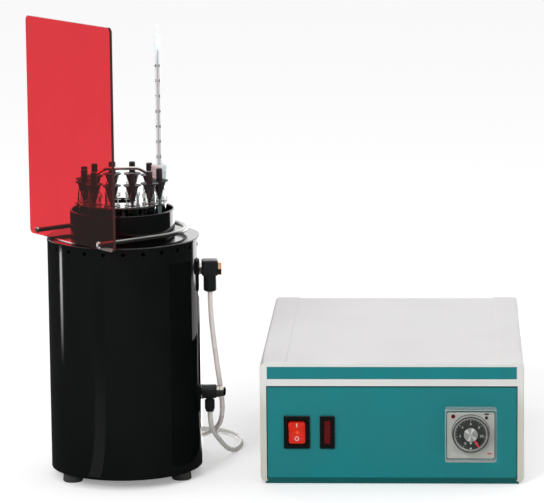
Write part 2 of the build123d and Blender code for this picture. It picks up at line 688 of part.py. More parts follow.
def make_lower_hose_nut():
    """Black nut that clamps the hose on the lower branch, with eight flats and a narrower tail."""
    branch = LOWER_BRANCH_R + HOSE_FIT
    hose = HOSE_R + HOSE_FIT
    tail = HOSE_NUT_BOTTOM + HOSE_NUT_TAIL
    nut = turned([(branch, LOWER_BRANCH_BOTTOM), (branch, HOSE_NUT_TOP), (HOSE_NUT_R - HOSE_NUT_EDGE, HOSE_NUT_TOP),
                  (HOSE_NUT_R, HOSE_NUT_TOP - HOSE_NUT_EDGE), (HOSE_NUT_R, tail), (HOSE_NUT_TAIL_R, tail),
                  (HOSE_NUT_TAIL_R, HOSE_NUT_BOTTOM), (hose, HOSE_NUT_BOTTOM), (hose, LOWER_BRANCH_BOTTOM)])
    flats = extrude(RegularPolygon(HOSE_NUT_R * NUT_CORNER_CUT, NUT_FLATS), HOSE_NUT_TOP - HOSE_NUT_BOTTOM)
    nut &= Pos(0, 0, HOSE_NUT_BOTTOM) * flats
    return Pos(LOWER_BRANCH_X, 0, 0) * nut


# Hoses

def hose_radii(route):
    """Radius of each corner's arc: as large as its two runs allow."""
    radii = []
    for before, corner, after in zip(route, route[1:], route[2:]):
        arriving = Vector(corner) - Vector(before)
        leaving = Vector(after) - Vector(corner)
        half_turn = math.radians(arriving.get_angle(leaving)) / 2
        radii.append(RUN_SHARE * min(arriving.length, leaving.length) / math.tan(half_turn))
    return radii


def make_hose(name, route):
    """Hose along its route: straight runs joined by tangent arcs."""
    radii = hose_radii(route)
    path = FilletPolyline(*route, radius=radii)
    start = Plane(origin=path @ 0, z_dir=path % 0)
    tube = sweep(start * Circle(HOSE_R), path=path)
    expected = math.pi * HOSE_R ** 2 * path.length
    print(f"{name}: length {path.length:.0f}, smallest radius {min(radii):.1f}, "
          f"volume {tube.volume:.0f} of {expected:.0f}")
    print("  radii " + " ".join(f"{radius:.0f}" for radius in radii))
    return tube


def make_coil(centre):
    """Outer shape of a hose's put-away turns, flat on the bench."""
    inner = COIL_INNER_TURN_R - HOSE_R
    outer = COIL_INNER_TURN_R + (2 * COIL_TURNS_ACROSS - 1) * HOSE_R
    low = HOSE_REST - HOSE_R
    body = ring(outer, inner, low, low + 2 * HOSE_R * COIL_TURNS_HIGH)
    body = fillet(body.edges(), HOSE_R * 0.8)
    turns = [COIL_INNER_TURN_R + 2 * HOSE_R * index for index in range(COIL_TURNS_ACROSS)]
    length = COIL_TURNS_HIGH * sum(2 * math.pi * radius for radius in turns)
    print(f"coil at {centre}: {length:.0f} of hose")
    return Pos(centre[0], centre[1], 0) * body


# Rack

def tube_places():
    """Places of the tubes on the rack, the thermometer's tube first."""
    return around(TUBE_CIRCLE_R, evenly(TUBE_COUNT, TUBE_FIRST_ANGLE))


def make_perforated_plate(bottom):
    """Round rack plate with a hole for each tube and one for the lamp."""
    top = bottom + RACK_PLATE_THICK
    plate = rod(RACK_R, bottom, top)
    hole = rod(TUBE_R + RACK_HOLE_GAP, bottom - 1, top + 1)
    return plate - [place * hole for place in tube_places()] - rod(RACK_CENTRE_R, bottom - 1, top + 1)


def make_rack_frame():
    """Lower guide plate on the three rods that the rack stands on."""
    stand = rod(RACK_ROD_R, SHELF_TOP + REST_GAP, RACK_UNDER)
    rods = [place * stand for place in around(RACK_ROD_CIRCLE_R, RACK_ROD_ANGLES)]
    return make_perforated_plate(RACK_GUIDE_Z) + rods


def make_rack_handle():
    """Bent-rod lifting handle with a foot at each end."""
    corners = [(-HANDLE_HALF, 0, RACK_TOP), (-HANDLE_HALF, 0, HANDLE_SHOULDER), (-HANDLE_TOP_HALF, 0, HANDLE_TOP),
               (HANDLE_TOP_HALF, 0, HANDLE_TOP), (HANDLE_HALF, 0, HANDLE_SHOULDER), (HANDLE_HALF, 0, RACK_TOP)]
    bends = [HANDLE_SHOULDER_BEND_R, HANDLE_TOP_BEND_R, HANDLE_TOP_BEND_R, HANDLE_SHOULDER_BEND_R]
    path = FilletPolyline(*corners, radius=bends)
    start = Plane(origin=path @ 0, z_dir=path % 0)
    bow = sweep(start * Circle(HANDLE_R), path=path)
    foot = rod(HANDLE_FOOT_R, RACK_TOP, RACK_TOP + HANDLE_FOOT_HEIGHT)
    return bow + [Pos(side * HANDLE_HALF, 0, 0) * foot for side in (-1, 1)]


def make_sample_tube():
    """Quartz tube: round bottom, a bead that hangs it on the rack and a drawn-in mouth."""
    inner = TUBE_R - TUBE_WALL
    mouth = cone_radius(TUBE_RIM) + STOPPER_SEAT_GAP
    centre = TUBE_BOTTOM + TUBE_R
    shoulder = TUBE_RIM - TUBE_SHOULDER
    diagonal = math.sqrt(0.5)
    bead_top = RACK_TOP + BEAD_HEIGHT
    points = [(0, TUBE_BOTTOM), (TUBE_R, centre), (TUBE_R, RACK_TOP), (BEAD_R - 0.6, RACK_TOP),
              (BEAD_R - 0.6, bead_top), (TUBE_R, bead_top), (TUBE_R, shoulder), (mouth + TUBE_LIP, TUBE_RIM),
              (mouth, TUBE_RIM), (inner, shoulder), (inner, centre), (0, TUBE_BOTTOM + TUBE_WALL)]
    arcs = {0: (TUBE_R * diagonal, centre - TUBE_R * diagonal),
            3: (BEAD_R, (RACK_TOP + bead_top) / 2),
            10: (inner * diagonal, centre - inner * diagonal)}
    return turned(points, arcs)


def make_sample_tubes():
    """The twelve quartz tubes."""
    tube = make_sample_tube()
    return Compound(children=[place * tube for place in tube_places()])


def make_stopper():
    """Conical stopper with a dished flange and a finger grip."""
    dish = FLANGE_EDGE_Z - FLANGE_DISH
    edge = FINGER_EDGE
    points = [(0, STOPPER_TIP), (STOPPER_TIP_R, STOPPER_TIP), (CONE_BOTTOM_R, CONE_BOTTOM), (CONE_TOP_R, CONE_TOP),
              (FLANGE_R, FLANGE_EDGE_Z - FLANGE_THICK), (FLANGE_R, FLANGE_EDGE_Z), (FINGER_R + edge, dish),
              (FINGER_R, dish + edge), (FINGER_R, FINGER_TOP - edge), (FINGER_R - edge, FINGER_TOP), (0, FINGER_TOP)]
    return turned(points)


def make_thermometer_bush():
    """Bush with a conical plug that holds the thermometer in its tube's mouth."""
    bore = THERMO_R + RUNNING
    plug_r = cone_radius(BUSH_PLUG_BOTTOM)
    points = [(bore, BUSH_PLUG_BOTTOM), (plug_r, BUSH_PLUG_BOTTOM), (CONE_TOP_R, CONE_TOP), (BUSH_R - 0.6, BUSH_BOTTOM),
              (BUSH_R, BUSH_BOTTOM + 0.8), (BUSH_R, BUSH_TOP - 1.2), (BUSH_R - 1.2, BUSH_TOP), (bore, BUSH_TOP)]
    return turned(points)


def make_thermometer():
    """Glass thermometer: thin bulb, long stem, drawn neck and glass button."""
    button = THERMO_TOP - THERMO_BUTTON_R
    neck = THERMO_SHOULDER + THERMO_R * 1.4
    points = [(0, THERMO_BOTTOM), (THERMO_BULB_R, THERMO_BOTTOM + THERMO_BULB_R), (THERMO_BULB_R, THERMO_BULB_TOP - 1.5),
              (THERMO_R, THERMO_BULB_TOP), (THERMO_R, THERMO_SHOULDER), (THERMO_NECK_R, neck),
              (THERMO_NECK_R, button - THERMO_BUTTON_R), (THERMO_BUTTON_R, button), (0, THERMO_TOP)]
    diagonal = math.sqrt(0.5)
    arcs = {0: (THERMO_BULB_R * diagonal, THERMO_BOTTOM + THERMO_BULB_R * (1 - diagonal)),
            7: (THERMO_BUTTON_R * diagonal, button + THERMO_BUTTON_R * diagonal)}
    return turned(points, arcs)


# Eye shield; drawn with its plate square to +X, then turned to its place

def make_shield_plate():
    """Upright plate with rounded corners and two screw holes."""
    middle = (SHIELD_BOTTOM + SHIELD_TOP) / 2
    outline = RectangleRounded(SHIELD_TOP - SHIELD_BOTTOM, SHIELD_WIDTH, SHIELD_CORNER_R)
    plate = Pos(0, SHIELD_SIDE_OFFSET, middle) * Rot(0, 90, 0) * extrude(outline, SHIELD_THICK)
    plate = Pos(SHIELD_DISTANCE - SHIELD_THICK / 2, 0, 0) * plate
    near = SHIELD_DISTANCE - SHIELD_THICK
    far = SHIELD_DISTANCE + SHIELD_THICK
    return plate - [rod_x(SHIELD_SCREW_R + SLIP, near, far, ROD_Z, side) for side in (-LEG_V, LEG_V)]


def make_shield_rod():
    """U-shaped rod that hugs the collar, tapped at both ends for the plate's screws."""
    face = SHIELD_DISTANCE - SHIELD_THICK / 2
    legs = [Line((face, side, ROD_Z), (-ROD_BEND_OFFSET, side, ROD_Z)) for side in (LEG_V, -LEG_V)]
    bend = ThreePointArc((-ROD_BEND_OFFSET, LEG_V, ROD_Z), (-ROD_BEND_OFFSET - LEG_V, 0, ROD_Z),
                         (-ROD_BEND_OFFSET, -LEG_V, ROD_Z))
    back = Line((-ROD_BEND_OFFSET, -LEG_V, ROD_Z), (face, -LEG_V, ROD_Z))
    path = Wire([legs[0], bend, back])
    start = Plane(origin=path @ 0, z_dir=path % 0)
    u_rod = sweep(start * Circle(ROD_R), path=path)
    depth = SHIELD_SCREW_DEPTH + 1
    return u_rod - [rod_x(SHIELD_SCREW_R + RUNNING, face - depth, face + 1, ROD_Z, side) for side in (-LEG_V, LEG_V)]


def make_shield_screws():
    """Two socket screws with their washers, through the plate into the rod's ends."""
    face = SHIELD_DISTANCE + SHIELD_THICK / 2
    inner = face - SHIELD_THICK - SHIELD_SCREW_DEPTH
    washer = face + SHIELD_WASHER
    top = washer + SHIELD_SCREW_HEAD
    screws = []
    for side in (-LEG_V, LEG_V):
        screw = rod_x(SHIELD_SCREW_R, inner, washer + 0.5, ROD_Z, side)
        screw += rod_x(SHIELD_WASHER_R, face, washer, ROD_Z, side)
        head = rod_x(SHIELD_SCREW_HEAD_R, washer, top, ROD_Z, side)
        head = fillet(head.edges().group_by(Axis.X)[-1], 1.1)
        drive = Pos(top - HEX_DEPTH, side, ROD_Z) * Rot(0, 90, 0) * hexagon(HEX_ACROSS_FLATS, HEX_DEPTH + 1)
        screws.append(screw + head - drive)
    return Compound(children=screws)


# Control unit casing

def make_control_feet():
    """Four low feet under the control unit."""
    foot = turned([(0, 0), (CASE_FOOT_R - 0.6, 0), (CASE_FOOT_R, 0.6), (CASE_FOOT_R, CASE_BOTTOM), (0, CASE_BOTTOM)])
    places = [Pos(x, y, 0) for x in (-CASE_FOOT_X, CASE_FOOT_X) for y in CASE_FOOT_YS]
    return Compound(children=[place * foot for place in places])


def side_screw_places():
    """Places of the casing's side screws, each with its axis pointing outwards along +X or -X."""
    half = CASE_WIDTH / 2
    right = [Pos(half, y, CASE_SCREW_Z) for y in CASE_SCREW_YS]
    left = [Pos(-half, y, CASE_SCREW_Z) * Rot(0, 0, 180) for y in CASE_SCREW_YS]
    return right + left


def make_case_screw(gap=0.0):
    """Countersunk screw with its head flush at x = 0, shank towards -X."""
    head_r = CASE_SCREW_HEAD_R + gap
    shank_r = CASE_SCREW_R + gap
    depth = head_r - shank_r
    points = [(0, 0), (head_r, 0), (shank_r, -depth), (shank_r, -CASE_SCREW_LENGTH), (0, -CASE_SCREW_LENGTH)]
    return Rot(0, 90, 0) * turned(points)


def make_control_tray():
    """Floor and back wall in one folded sheet, with low side flanges and cut-outs."""
    inside = CASE_WIDTH / 2 - SHEET - 0.1
    floor = block(-inside, inside, FRAME_DEPTH + SLIP, CASE_DEPTH, CASE_BOTTOM, CASE_BOTTOM + SHEET)
    top = CASE_TOP - BAND_RISE - SHEET - SLIP
    back = block(-inside, inside, CASE_DEPTH - SHEET, CASE_DEPTH, CASE_BOTTOM, top)
    back = chamfer(back.edges().filter_by(Axis.Y).group_by(Axis.Z)[-1], CASE_CORNER_R)
    flange_top = CASE_BOTTOM + TRAY_FLANGE_HEIGHT
    flange = block(inside - SHEET, inside, TRAY_FLANGE_FRONT, CASE_DEPTH - TRAY_FLANGE_BACK, CASE_BOTTOM, flange_top)
    tray = floor + back + flange + mirror(flange, Plane.YZ)
    near = CASE_DEPTH - SHEET - 1
    far = CASE_DEPTH + 1
    slot = slab_y(BACK_VENT_WIDTH, BACK_VENT_HEIGHT, near, far, 0, BACK_VENT_Z, BACK_VENT_WIDTH / 2 - 0.01)
    first = BACK_VENT_X - BACK_VENT_PITCH * (BACK_VENTS - 1) / 2
    cuts = [Pos(first + BACK_VENT_PITCH * index, 0, 0) * slot for index in range(BACK_VENTS)]
    cuts.append(slab_y(INLET_BODY[0] + SLIP, INLET_BODY[1] + SLIP, near, far, INLET_X, INLET_Z))
    cuts.append(rod_y(SOCKET_BODY_R + SLIP, near, far, OUTLET_X, OUTLET_Z))
    cuts += [place * make_case_screw(0.1) for place in side_screw_places()]
    return tray - cuts


def make_top_cover():
    """Folded cover: two sides and a roof with a raised band along each side."""
    half = CASE_WIDTH / 2
    low = CASE_TOP - BAND_RISE
    inner = half - SHEET
    roof = low - SHEET
    band = half - BAND_WIDTH
    inner_corner = CASE_CORNER_R - SHEET
    swing = 1 - math.sqrt(0.5)
    right = [(0, roof), (inner - inner_corner, roof), (inner, roof - inner_corner), (inner, CASE_BOTTOM + SHEET),
             (half, CASE_BOTTOM + SHEET), (half, CASE_TOP - CASE_CORNER_R), (half - CASE_CORNER_R, CASE_TOP),
             (band, CASE_TOP), (band - BAND_SLOPE, low), (0, low)]
    arcs = {1: (inner - inner_corner * swing, roof - inner_corner * swing),
            5: (half - CASE_CORNER_R * swing, CASE_TOP - CASE_CORNER_R * swing)}
    edges = []
    for index, start in enumerate(right):
        end = right[(index + 1) % len(right)]
        here = (start[0], FRAME_DEPTH, start[1])
        there = (end[0], FRAME_DEPTH, end[1])
        if index in arcs:
            edges.append(ThreePointArc(here, (arcs[index][0], FRAME_DEPTH, arcs[index][1]), there))
        else:
            edges.append(Line(here, there))
    section = make_face(edges)
    side = extrude(section, CASE_DEPTH - FRAME_DEPTH, dir=(0, 1, 0))
    cover = side + mirror(side, Plane.YZ)
    return cover - [place * make_case_screw(0.1) for place in side_screw_places()]


def make_front_frame():
    """Front frame: rounded surround, the bar over the panel and the pocket for the title strip."""
    height = CASE_TOP - CASE_BOTTOM
    middle = (CASE_TOP + CASE_BOTTOM) / 2
    frame = slab_y(CASE_WIDTH, height, 0, FRAME_DEPTH, 0, middle)
    uprights = frame.edges().filter_by(Axis.Y).group_by(Axis.Z)
    frame = fillet(uprights[0], FRAME_CORNER_R)
    frame = fillet(frame.edges().filter_by(Axis.Y).group_by(Axis.Z)[-1], CASE_CORNER_R)
    frame = fillet(frame.faces().sort_by(Axis.Y)[0].edges(), FRAME_EDGE_R)
    half = PANEL_OPENING / 2
    frame -= block(-half, half, -1, FRAME_DEPTH + 1, 0, PANEL_OPENING_TOP)
    frame -= block(-half, half, -1, BAR_STEP, PANEL_OPENING_TOP - 1, PANEL_OPENING_TOP + BAR_STEP_HEIGHT)
    strip = STRIP_WIDTH / 2
    return frame - block(-strip, strip, -1, STRIP_POCKET, STRIP_BOTTOM, STRIP_TOP)


def make_title_strip():
    """Plain strip in the frame's pocket."""
    half = STRIP_WIDTH / 2 - SLIP
    return block(-half, half, STRIP_SUNK, STRIP_POCKET, STRIP_BOTTOM + SLIP, STRIP_TOP - SLIP)


def make_front_panel():
    """Front panel with its undercut lip and the cut-outs for switch, lamp and timer."""
    half = PANEL_WIDTH / 2
    back = PANEL_FACE + PANEL_THICK
    panel = block(-half, half, PANEL_FACE, back, LIP_TOP, PANEL_TOP)
    set_back = PANEL_FACE + LIP_SET_BACK
    outline = Polyline((-half, PANEL_FACE, LIP_TOP), (-half, back, LIP_TOP), (-half, set_back + LIP_THICK, LIP_BOTTOM),
                       (-half, set_back, LIP_BOTTOM), close=True)
    lip = extrude(make_face(outline), PANEL_WIDTH, dir=(1, 0, 0))
    wide = LIP_FLANGE_WIDTH / 2
    flange = block(-wide, wide, set_back - LIP_FORWARD, set_back + LIP_THICK, LIP_BOTTOM, LIP_FLANGE_TOP)
    panel = panel + lip + flange
    near = PANEL_FACE - 1
    far = back + 1
    cuts = [slab_y(ROCKER_BODY_WIDTH + SLIP, BEZEL_BODY_HEIGHT + SLIP, near, far, ROCKER_X, BEZEL_Z),
            slab_y(SIGNAL_BODY_WIDTH + SLIP, BEZEL_BODY_HEIGHT + SLIP, near, far, SIGNAL_X, BEZEL_Z),
            slab_y(TIMER_BODY + SLIP, TIMER_BODY + SLIP, near, far, TIMER_X, TIMER_Z)]
    return panel - cuts


def make_case_screws():
    """The four countersunk side screws."""
    screw = make_case_screw()
    drive = Pos(-CASE_SCREW_DRIVE, 0, 0) * Rot(0, 90, 0) * hexagon(HEX_ACROSS_FLATS, 2 * CASE_SCREW_DRIVE)
    return Compound(children=[place * (screw - drive) for place in side_screw_places()])


# Switch and signal lamp

def make_rocker_bezel():
    """Switch body with its flange, open at the front around the rocker."""
    flange = slab_y(ROCKER_BEZEL_WIDTH, BEZEL_HEIGHT, FRONT_FACE_Y, PANEL_FACE, ROCKER_X, BEZEL_Z, BEZEL_CORNER_R)
    flange = chamfer(flange.faces().sort_by(Axis.Y)[0].edges(), BEZEL_CHAMFER)
    far = PANEL_FACE + BEZEL_BODY_DEPTH
    body = slab_y(ROCKER_BODY_WIDTH, BEZEL_BODY_HEIGHT, PANEL_FACE - 0.5, far, ROCKER_X, BEZEL_Z)
    window_width = ROCKER_WIDTH + 2 * ROCKER_GAP
    window_height = ROCKER_HEIGHT + 2 * ROCKER_SWING_GAP
    window = slab_y(window_width, window_height, FRONT_FACE_Y - 1, far - 6, ROCKER_X, BEZEL_Z)
    half = window_width / 2
    reach = half + ROCKER_PIN_HOLD + RUNNING
    pivot = rod_x(ROCKER_PIN_R + RUNNING, ROCKER_X - reach, ROCKER_X + reach, BEZEL_Z, ROCKER_PIVOT_DEPTH)
    return flange + body - window - pivot


def make_rocker():
    """Rocker with a shallow V face and pivot pins, tilted to its off position."""
    top = ROCKER_HEIGHT / 2
    side = ROCKER_SIDE - ROCKER_TIP_OUT
    outline = Polyline((0, -ROCKER_TIP_OUT, top), (0, -ROCKER_MIDDLE_OUT, 0), (0, -ROCKER_TIP_OUT, -top),
                       (0, side, -top), (0, ROCKER_BACK, -top + ROCKER_SIDE), (0, ROCKER_BACK, top - ROCKER_SIDE),
                       (0, side, top), close=True)
    half = ROCKER_WIDTH / 2
    key = Pos(-half, 0, 0) * extrude(make_face(outline), ROCKER_WIDTH, dir=(1, 0, 0))
    key = fillet(key.faces().sort_by(Axis.X)[0].edges().group_by(Axis.Y)[0], ROCKER_EDGE_R)
    key = fillet(key.faces().sort_by(Axis.X)[-1].edges().group_by(Axis.Y)[0], ROCKER_EDGE_R)
    key &= slab_y(ROCKER_WIDTH, ROCKER_HEIGHT, -ROCKER_TIP_OUT - 1, ROCKER_BACK + 1, 0, 0, ROCKER_CORNER_R)
    reach = half + ROCKER_GAP + ROCKER_PIN_HOLD
    key += rod_x(ROCKER_PIN_R, -reach, reach, 0)
    return Pos(ROCKER_X, ROCKER_PIVOT_DEPTH, BEZEL_Z) * Rot(ROCKER_TILT, 0, 0) * key


def make_signal_bezel():
    """Signal lamp body with its flange and the recess for the lens."""
    flange = slab_y(SIGNAL_BEZEL_WIDTH, BEZEL_HEIGHT, FRONT_FACE_Y, PANEL_FACE, SIGNAL_X, BEZEL_Z, BEZEL_CORNER_R)
    flange = chamfer(flange.faces().sort_by(Axis.Y)[0].edges(), BEZEL_CHAMFER)
    far = PANEL_FACE + BEZEL_BODY_DEPTH
    body = slab_y(SIGNAL_BODY_WIDTH, BEZEL_BODY_HEIGHT, PANEL_FACE - 0.5, far, SIGNAL_X, BEZEL_Z)
    floor = FRONT_FACE_Y + SIGNAL_LENS_SUNK + SIGNAL_LENS_THICK
    recess = slab_y(SIGNAL_LENS_WIDTH + SLIP, SIGNAL_LENS_HEIGHT + SLIP, FRONT_FACE_Y - 1, floor, SIGNAL_X, BEZEL_Z)
    return flange + body - recess


def make_signal_lens():
    """Tinted lens of the signal lamp."""
    near = FRONT_FACE_Y + SIGNAL_LENS_SUNK
    lens = slab_y(SIGNAL_LENS_WIDTH, SIGNAL_LENS_HEIGHT, near, near + SIGNAL_LENS_THICK, SIGNAL_X, BEZEL_Z)
    return chamfer(lens.faces().sort_by(Axis.Y)[0].edges(), SIGNAL_LENS_CHAMFER)


# Timer

def make_timer_case():
    """Timer body with its square flange, the drum under the dial and the bearing for the knob's shaft."""
    corner = TIMER_CORNER_R
    flange = slab_y(TIMER_FLANGE, TIMER_FLANGE, TIMER_FLANGE_Y, PANEL_FACE, TIMER_X, TIMER_Z, corner)
    body = slab_y(TIMER_BODY, TIMER_BODY, PANEL_FACE - 0.5, PANEL_FACE + TIMER_BODY_DEPTH, TIMER_X, TIMER_Z)
    drum = rod_y(DIAL_DRUM_R, DIAL_Y, PANEL_FACE, TIMER_X, DIAL_Z)
    bearing = rod_y(TIMER_SHAFT_R + RUNNING, DIAL_Y - 1, DIAL_Y + TIMER_SHAFT_DEPTH + 1, TIMER_X, DIAL_Z)
    return flange + body + drum - bearing


def make_timer_face():
    """Face plate with a round opening for the dial."""
    plate = slab_y(TIMER_FACE, TIMER_FACE, TIMER_FACE_Y, TIMER_FLANGE_Y, TIMER_X, TIMER_Z, TIMER_CORNER_R)
    return plate - rod_y(TIMER_FACE_OPENING_R, TIMER_FACE_Y - 1, TIMER_FLANGE_Y + 1, TIMER_X, DIAL_Z)


def make_timer_disc():
    """Clear turning cup over the dial, with its open side to the timer."""
    far = TIMER_FLANGE_Y - TIMER_DISC_GAP
    disc = rod_y(TIMER_DISC_R, TIMER_DISC_Y, far, TIMER_X, DIAL_Z)
    disc = fillet(disc.edges().group_by(Axis.Y)[0], TIMER_DISC_EDGE_R)
    inner = TIMER_DISC_R - TIMER_DISC_WALL
    disc -= rod_y(inner, TIMER_DISC_Y + TIMER_DISC_WALL, far + 1, TIMER_X, DIAL_Z)
    return disc - rod_y(TIMER_SHAFT_R, TIMER_DISC_Y - 1, far + 1, TIMER_X, DIAL_Z)


def make_timer_knob():
    """Bright middle of the knob with its shaft."""
    knob = rod_y(TIMER_KNOB_R, TIMER_DISC_Y - TIMER_KNOB_HEIGHT, TIMER_DISC_Y, TIMER_X, DIAL_Z)
    knob = chamfer(knob.edges().group_by(Axis.Y)[0], TIMER_KNOB_EDGE)
    return knob + rod_y(TIMER_SHAFT_R, TIMER_DISC_Y - TIMER_KNOB_HEIGHT / 2, DIAL_Y + TIMER_SHAFT_DEPTH, TIMER_X, DIAL_Z)


def make_timer_cover():
    """Clear cover over the timer, open at the back."""
    far = PANEL_FACE - SLIP
    near = PANEL_FACE - COVER_DEPTH
    cover = slab_y(COVER_WIDTH, COVER_HEIGHT, near, far, TIMER_X, COVER_Z, COVER_CORNER_R)
    cover = fillet(cover.faces().sort_by(Axis.Y)[0].edges(), COVER_EDGE_R)
    width = COVER_WIDTH - 2 * COVER_WALL
    height = COVER_HEIGHT - 2 * COVER_WALL
    return cover - slab_y(width, height, near + COVER_WALL, far + 1, TIMER_X, COVER_Z, COVER_CORNER_R - COVER_WALL)


# Back of the control unit and its ballast

def make_mains_inlet():
    """Appliance inlet: flange, recess and three blades."""
    outer = CASE_DEPTH + SOCKET_FLANGE
    flange = slab_y(INLET_FLANGE[0], INLET_FLANGE[1], CASE_DEPTH, outer, INLET_X, INLET_Z, 2.0)
    inner = CASE_DEPTH - INLET_DEPTH
    body = slab_y(INLET_BODY[0], INLET_BODY[1], inner, CASE_DEPTH + 0.5, INLET_X, INLET_Z)
    floor = outer - INLET_RECESS_DEPTH
    recess = slab_y(INLET_RECESS[0], INLET_RECESS[1], floor, outer + 1, INLET_X, INLET_Z, 3.0)
    inlet = flange + body - recess
    tip = floor + INLET_BLADE_LENGTH
    low = INLET_Z - INLET_BLADE_OFFSET
    high = INLET_Z + INLET_BLADE_OFFSET
    places = [(INLET_X - INLET_BLADE_PITCH, low), (INLET_X + INLET_BLADE_PITCH, low), (INLET_X, high)]
    return inlet + [slab_y(INLET_BLADE[0], INLET_BLADE[1], floor - 1, tip, x, z) for x, z in places]


def make_ballast():
    """Lamp choke: laminated core, winding and mounting feet."""
    width, depth, height = BALLAST_CORE
    base = CASE_BOTTOM + SHEET
    low_y = BALLAST_Y - depth / 2
    high_y = BALLAST_Y + depth / 2
    core = block(BALLAST_X - width / 2, BALLAST_X + width / 2, low_y, high_y, base, base + height)
    inner = width / 2 - BALLAST_LEG
    winding = block(BALLAST_X - inner, BALLAST_X + inner, low_y - BALLAST_WINDING_OVER, high_y + BALLAST_WINDING_OVER,
                    base + BALLAST_LEG, base + height - BALLAST_LEG)
    winding = fillet(winding.edges().filter_by(Axis.Z), 5.0)
    wide = width / 2 + BALLAST_FOOT
    foot = block(BALLAST_X - wide, BALLAST_X + wide, low_y + 8, high_y - 8, base, base + BALLAST_FOOT_THICK)
    return core + winding + foot


def build_tower():
    """All pieces of the tower that stay in place, about the tower's axis."""
    lamp_inlet = Rot(0, 0, TOWER_SOCKET_ANGLE) * Pos(HOUSING_FACE, 0, TOWER_SOCKET_Z) * make_round_socket()
    return {
        "tower_feet": make_tower_feet(),
        "base_plate": make_base_plate(),
        "tower_housing": make_tower_housing(),
        "tower_lid": make_tower_lid(),
        "collar": make_collar(),
        "cooling_jacket": make_cooling_jacket(),
        "lamp_socket": make_lamp_socket(),
        "uv_lamp": make_uv_lamp(),
        "lamp_inlet": lamp_inlet,
        "fan_frame": make_fan_frame(),
        "fan_rotor": make_fan_rotor(),
        "upper_nipple": make_upper_nipple(),
        "upper_elbow": make_upper_elbow(),
        "upper_screw": make_upper_screw(),
        "lower_fitting": make_lower_fitting(),
        "lower_dome_nut": make_lower_dome_nut(),
        "lower_hose_nut": make_lower_hose_nut(),
        "upper_hose": make_hose("upper_hose", UPPER_ROUTE),
        "upper_hose_coil": make_coil(UPPER_COIL),
        "lower_hose": make_hose("lower_hose", LOWER_ROUTE),
        "lower_hose_coil": make_coil(LOWER_COIL),
    }


def build_rack():
    """The lift-out rack, its tubes and stoppers, and the thermometer, about the tower's axis."""
    places = tube_places()
    pieces = {
        "rack_plate": make_perforated_plate(RACK_UNDER),
        "rack_frame": make_rack_frame(),
        "rack_handle": make_rack_handle(),
        "sample_tubes": make_sample_tubes(),
        "thermometer_bush": places[0] * make_thermometer_bush(),
        "thermometer": places[0] * make_thermometer(),
    }
    stopper = make_stopper()
    for index, place in enumerate(places[1:], start=1):
        pieces[f"stopper_{index:02d}"] = place * stopper
    return pieces


def build_shield():
    """The eye shield, turned to its place about the tower's axis."""
    turn = Rot(0, 0, SHIELD_ANGLE)
    return {
        "shield_plate": turn * make_shield_plate(),
        "shield_rod": turn * make_shield_rod(),
        "shield_screws": turn * make_shield_screws(),
    }


def build_control():
    """All pieces of the control unit, about the middle of its front."""
    lamp_outlet = Pos(OUTLET_X, CASE_DEPTH, OUTLET_Z) * Rot(0, 0, 90) * make_round_socket()
    return {
        "control_feet": make_control_feet(),
        "control_tray": make_control_tray(),
        "top_cover": make_top_cover(),
        "case_screws": make_case_screws(),
        "front_frame": make_front_frame(),
        "title_strip": make_title_strip(),
        "front_panel": make_front_panel(),
        "rocker_bezel": make_rocker_bezel(),
        "rocker": make_rocker(),
        "signal_bezel": make_signal_bezel(),
        "signal_lens": make_signal_lens(),
        "timer_case": make_timer_case(),
        "timer_face": make_timer_face(),
        "timer_disc": make_timer_disc(),
        "timer_knob": make_timer_knob(),
        "timer_cover": make_timer_cover(),
        "mains_inlet": make_mains_inlet(),
        "lamp_outlet": lamp_outlet,
        "ballast": make_ballast(),
    }


def main():
    """Build every piece in the part's frame and write one STEP file for each."""
    pieces = {}
    for group in (build_tower(), build_rack(), build_shield()):
        pieces.update({name: TOWER * shape for name, shape in group.items()})
    pieces.update({name: CONTROL * shape for name, shape in build_control().items()})
    os.makedirs("parts", exist_ok=True)
    for name, shape in pieces.items():
        export_step(shape, f"parts/{name}.step")
    print(f"{len(pieces)} nodes written")


main()
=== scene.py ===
"""Looks of the UV digester: its tower with rack, eye shield and hoses, and the control unit.

Lengths are metres in the part's frame: +X to the right, +Y to the back, +Z up, the bench at z = 0.
"""

import json
import logging
import math
from collections.abc import Iterable, Sequence
from dataclasses import dataclass, replace
from enum import Enum

import bmesh
import bpy
import numpy as np
from mathutils import Matrix, Vector


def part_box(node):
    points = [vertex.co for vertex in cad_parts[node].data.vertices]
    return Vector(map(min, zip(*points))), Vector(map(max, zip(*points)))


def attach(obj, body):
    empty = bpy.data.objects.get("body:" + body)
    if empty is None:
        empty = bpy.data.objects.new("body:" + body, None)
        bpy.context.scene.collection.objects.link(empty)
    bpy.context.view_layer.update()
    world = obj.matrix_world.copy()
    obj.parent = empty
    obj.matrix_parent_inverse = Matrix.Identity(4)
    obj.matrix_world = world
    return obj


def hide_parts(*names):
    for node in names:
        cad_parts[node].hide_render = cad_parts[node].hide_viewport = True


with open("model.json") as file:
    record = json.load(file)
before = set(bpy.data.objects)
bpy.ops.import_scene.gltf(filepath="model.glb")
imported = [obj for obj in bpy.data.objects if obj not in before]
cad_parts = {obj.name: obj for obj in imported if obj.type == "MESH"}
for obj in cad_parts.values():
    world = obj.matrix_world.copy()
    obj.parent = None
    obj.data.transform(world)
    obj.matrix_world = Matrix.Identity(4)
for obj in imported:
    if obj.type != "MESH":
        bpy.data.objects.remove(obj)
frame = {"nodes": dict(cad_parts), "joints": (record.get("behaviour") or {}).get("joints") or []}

Colour = tuple[float, float, float]
Point = tuple[float, float, float]
Socket = bpy.types.NodeSocket
Values = dict[str | int, object]

log = logging.getLogger("uv_digester")

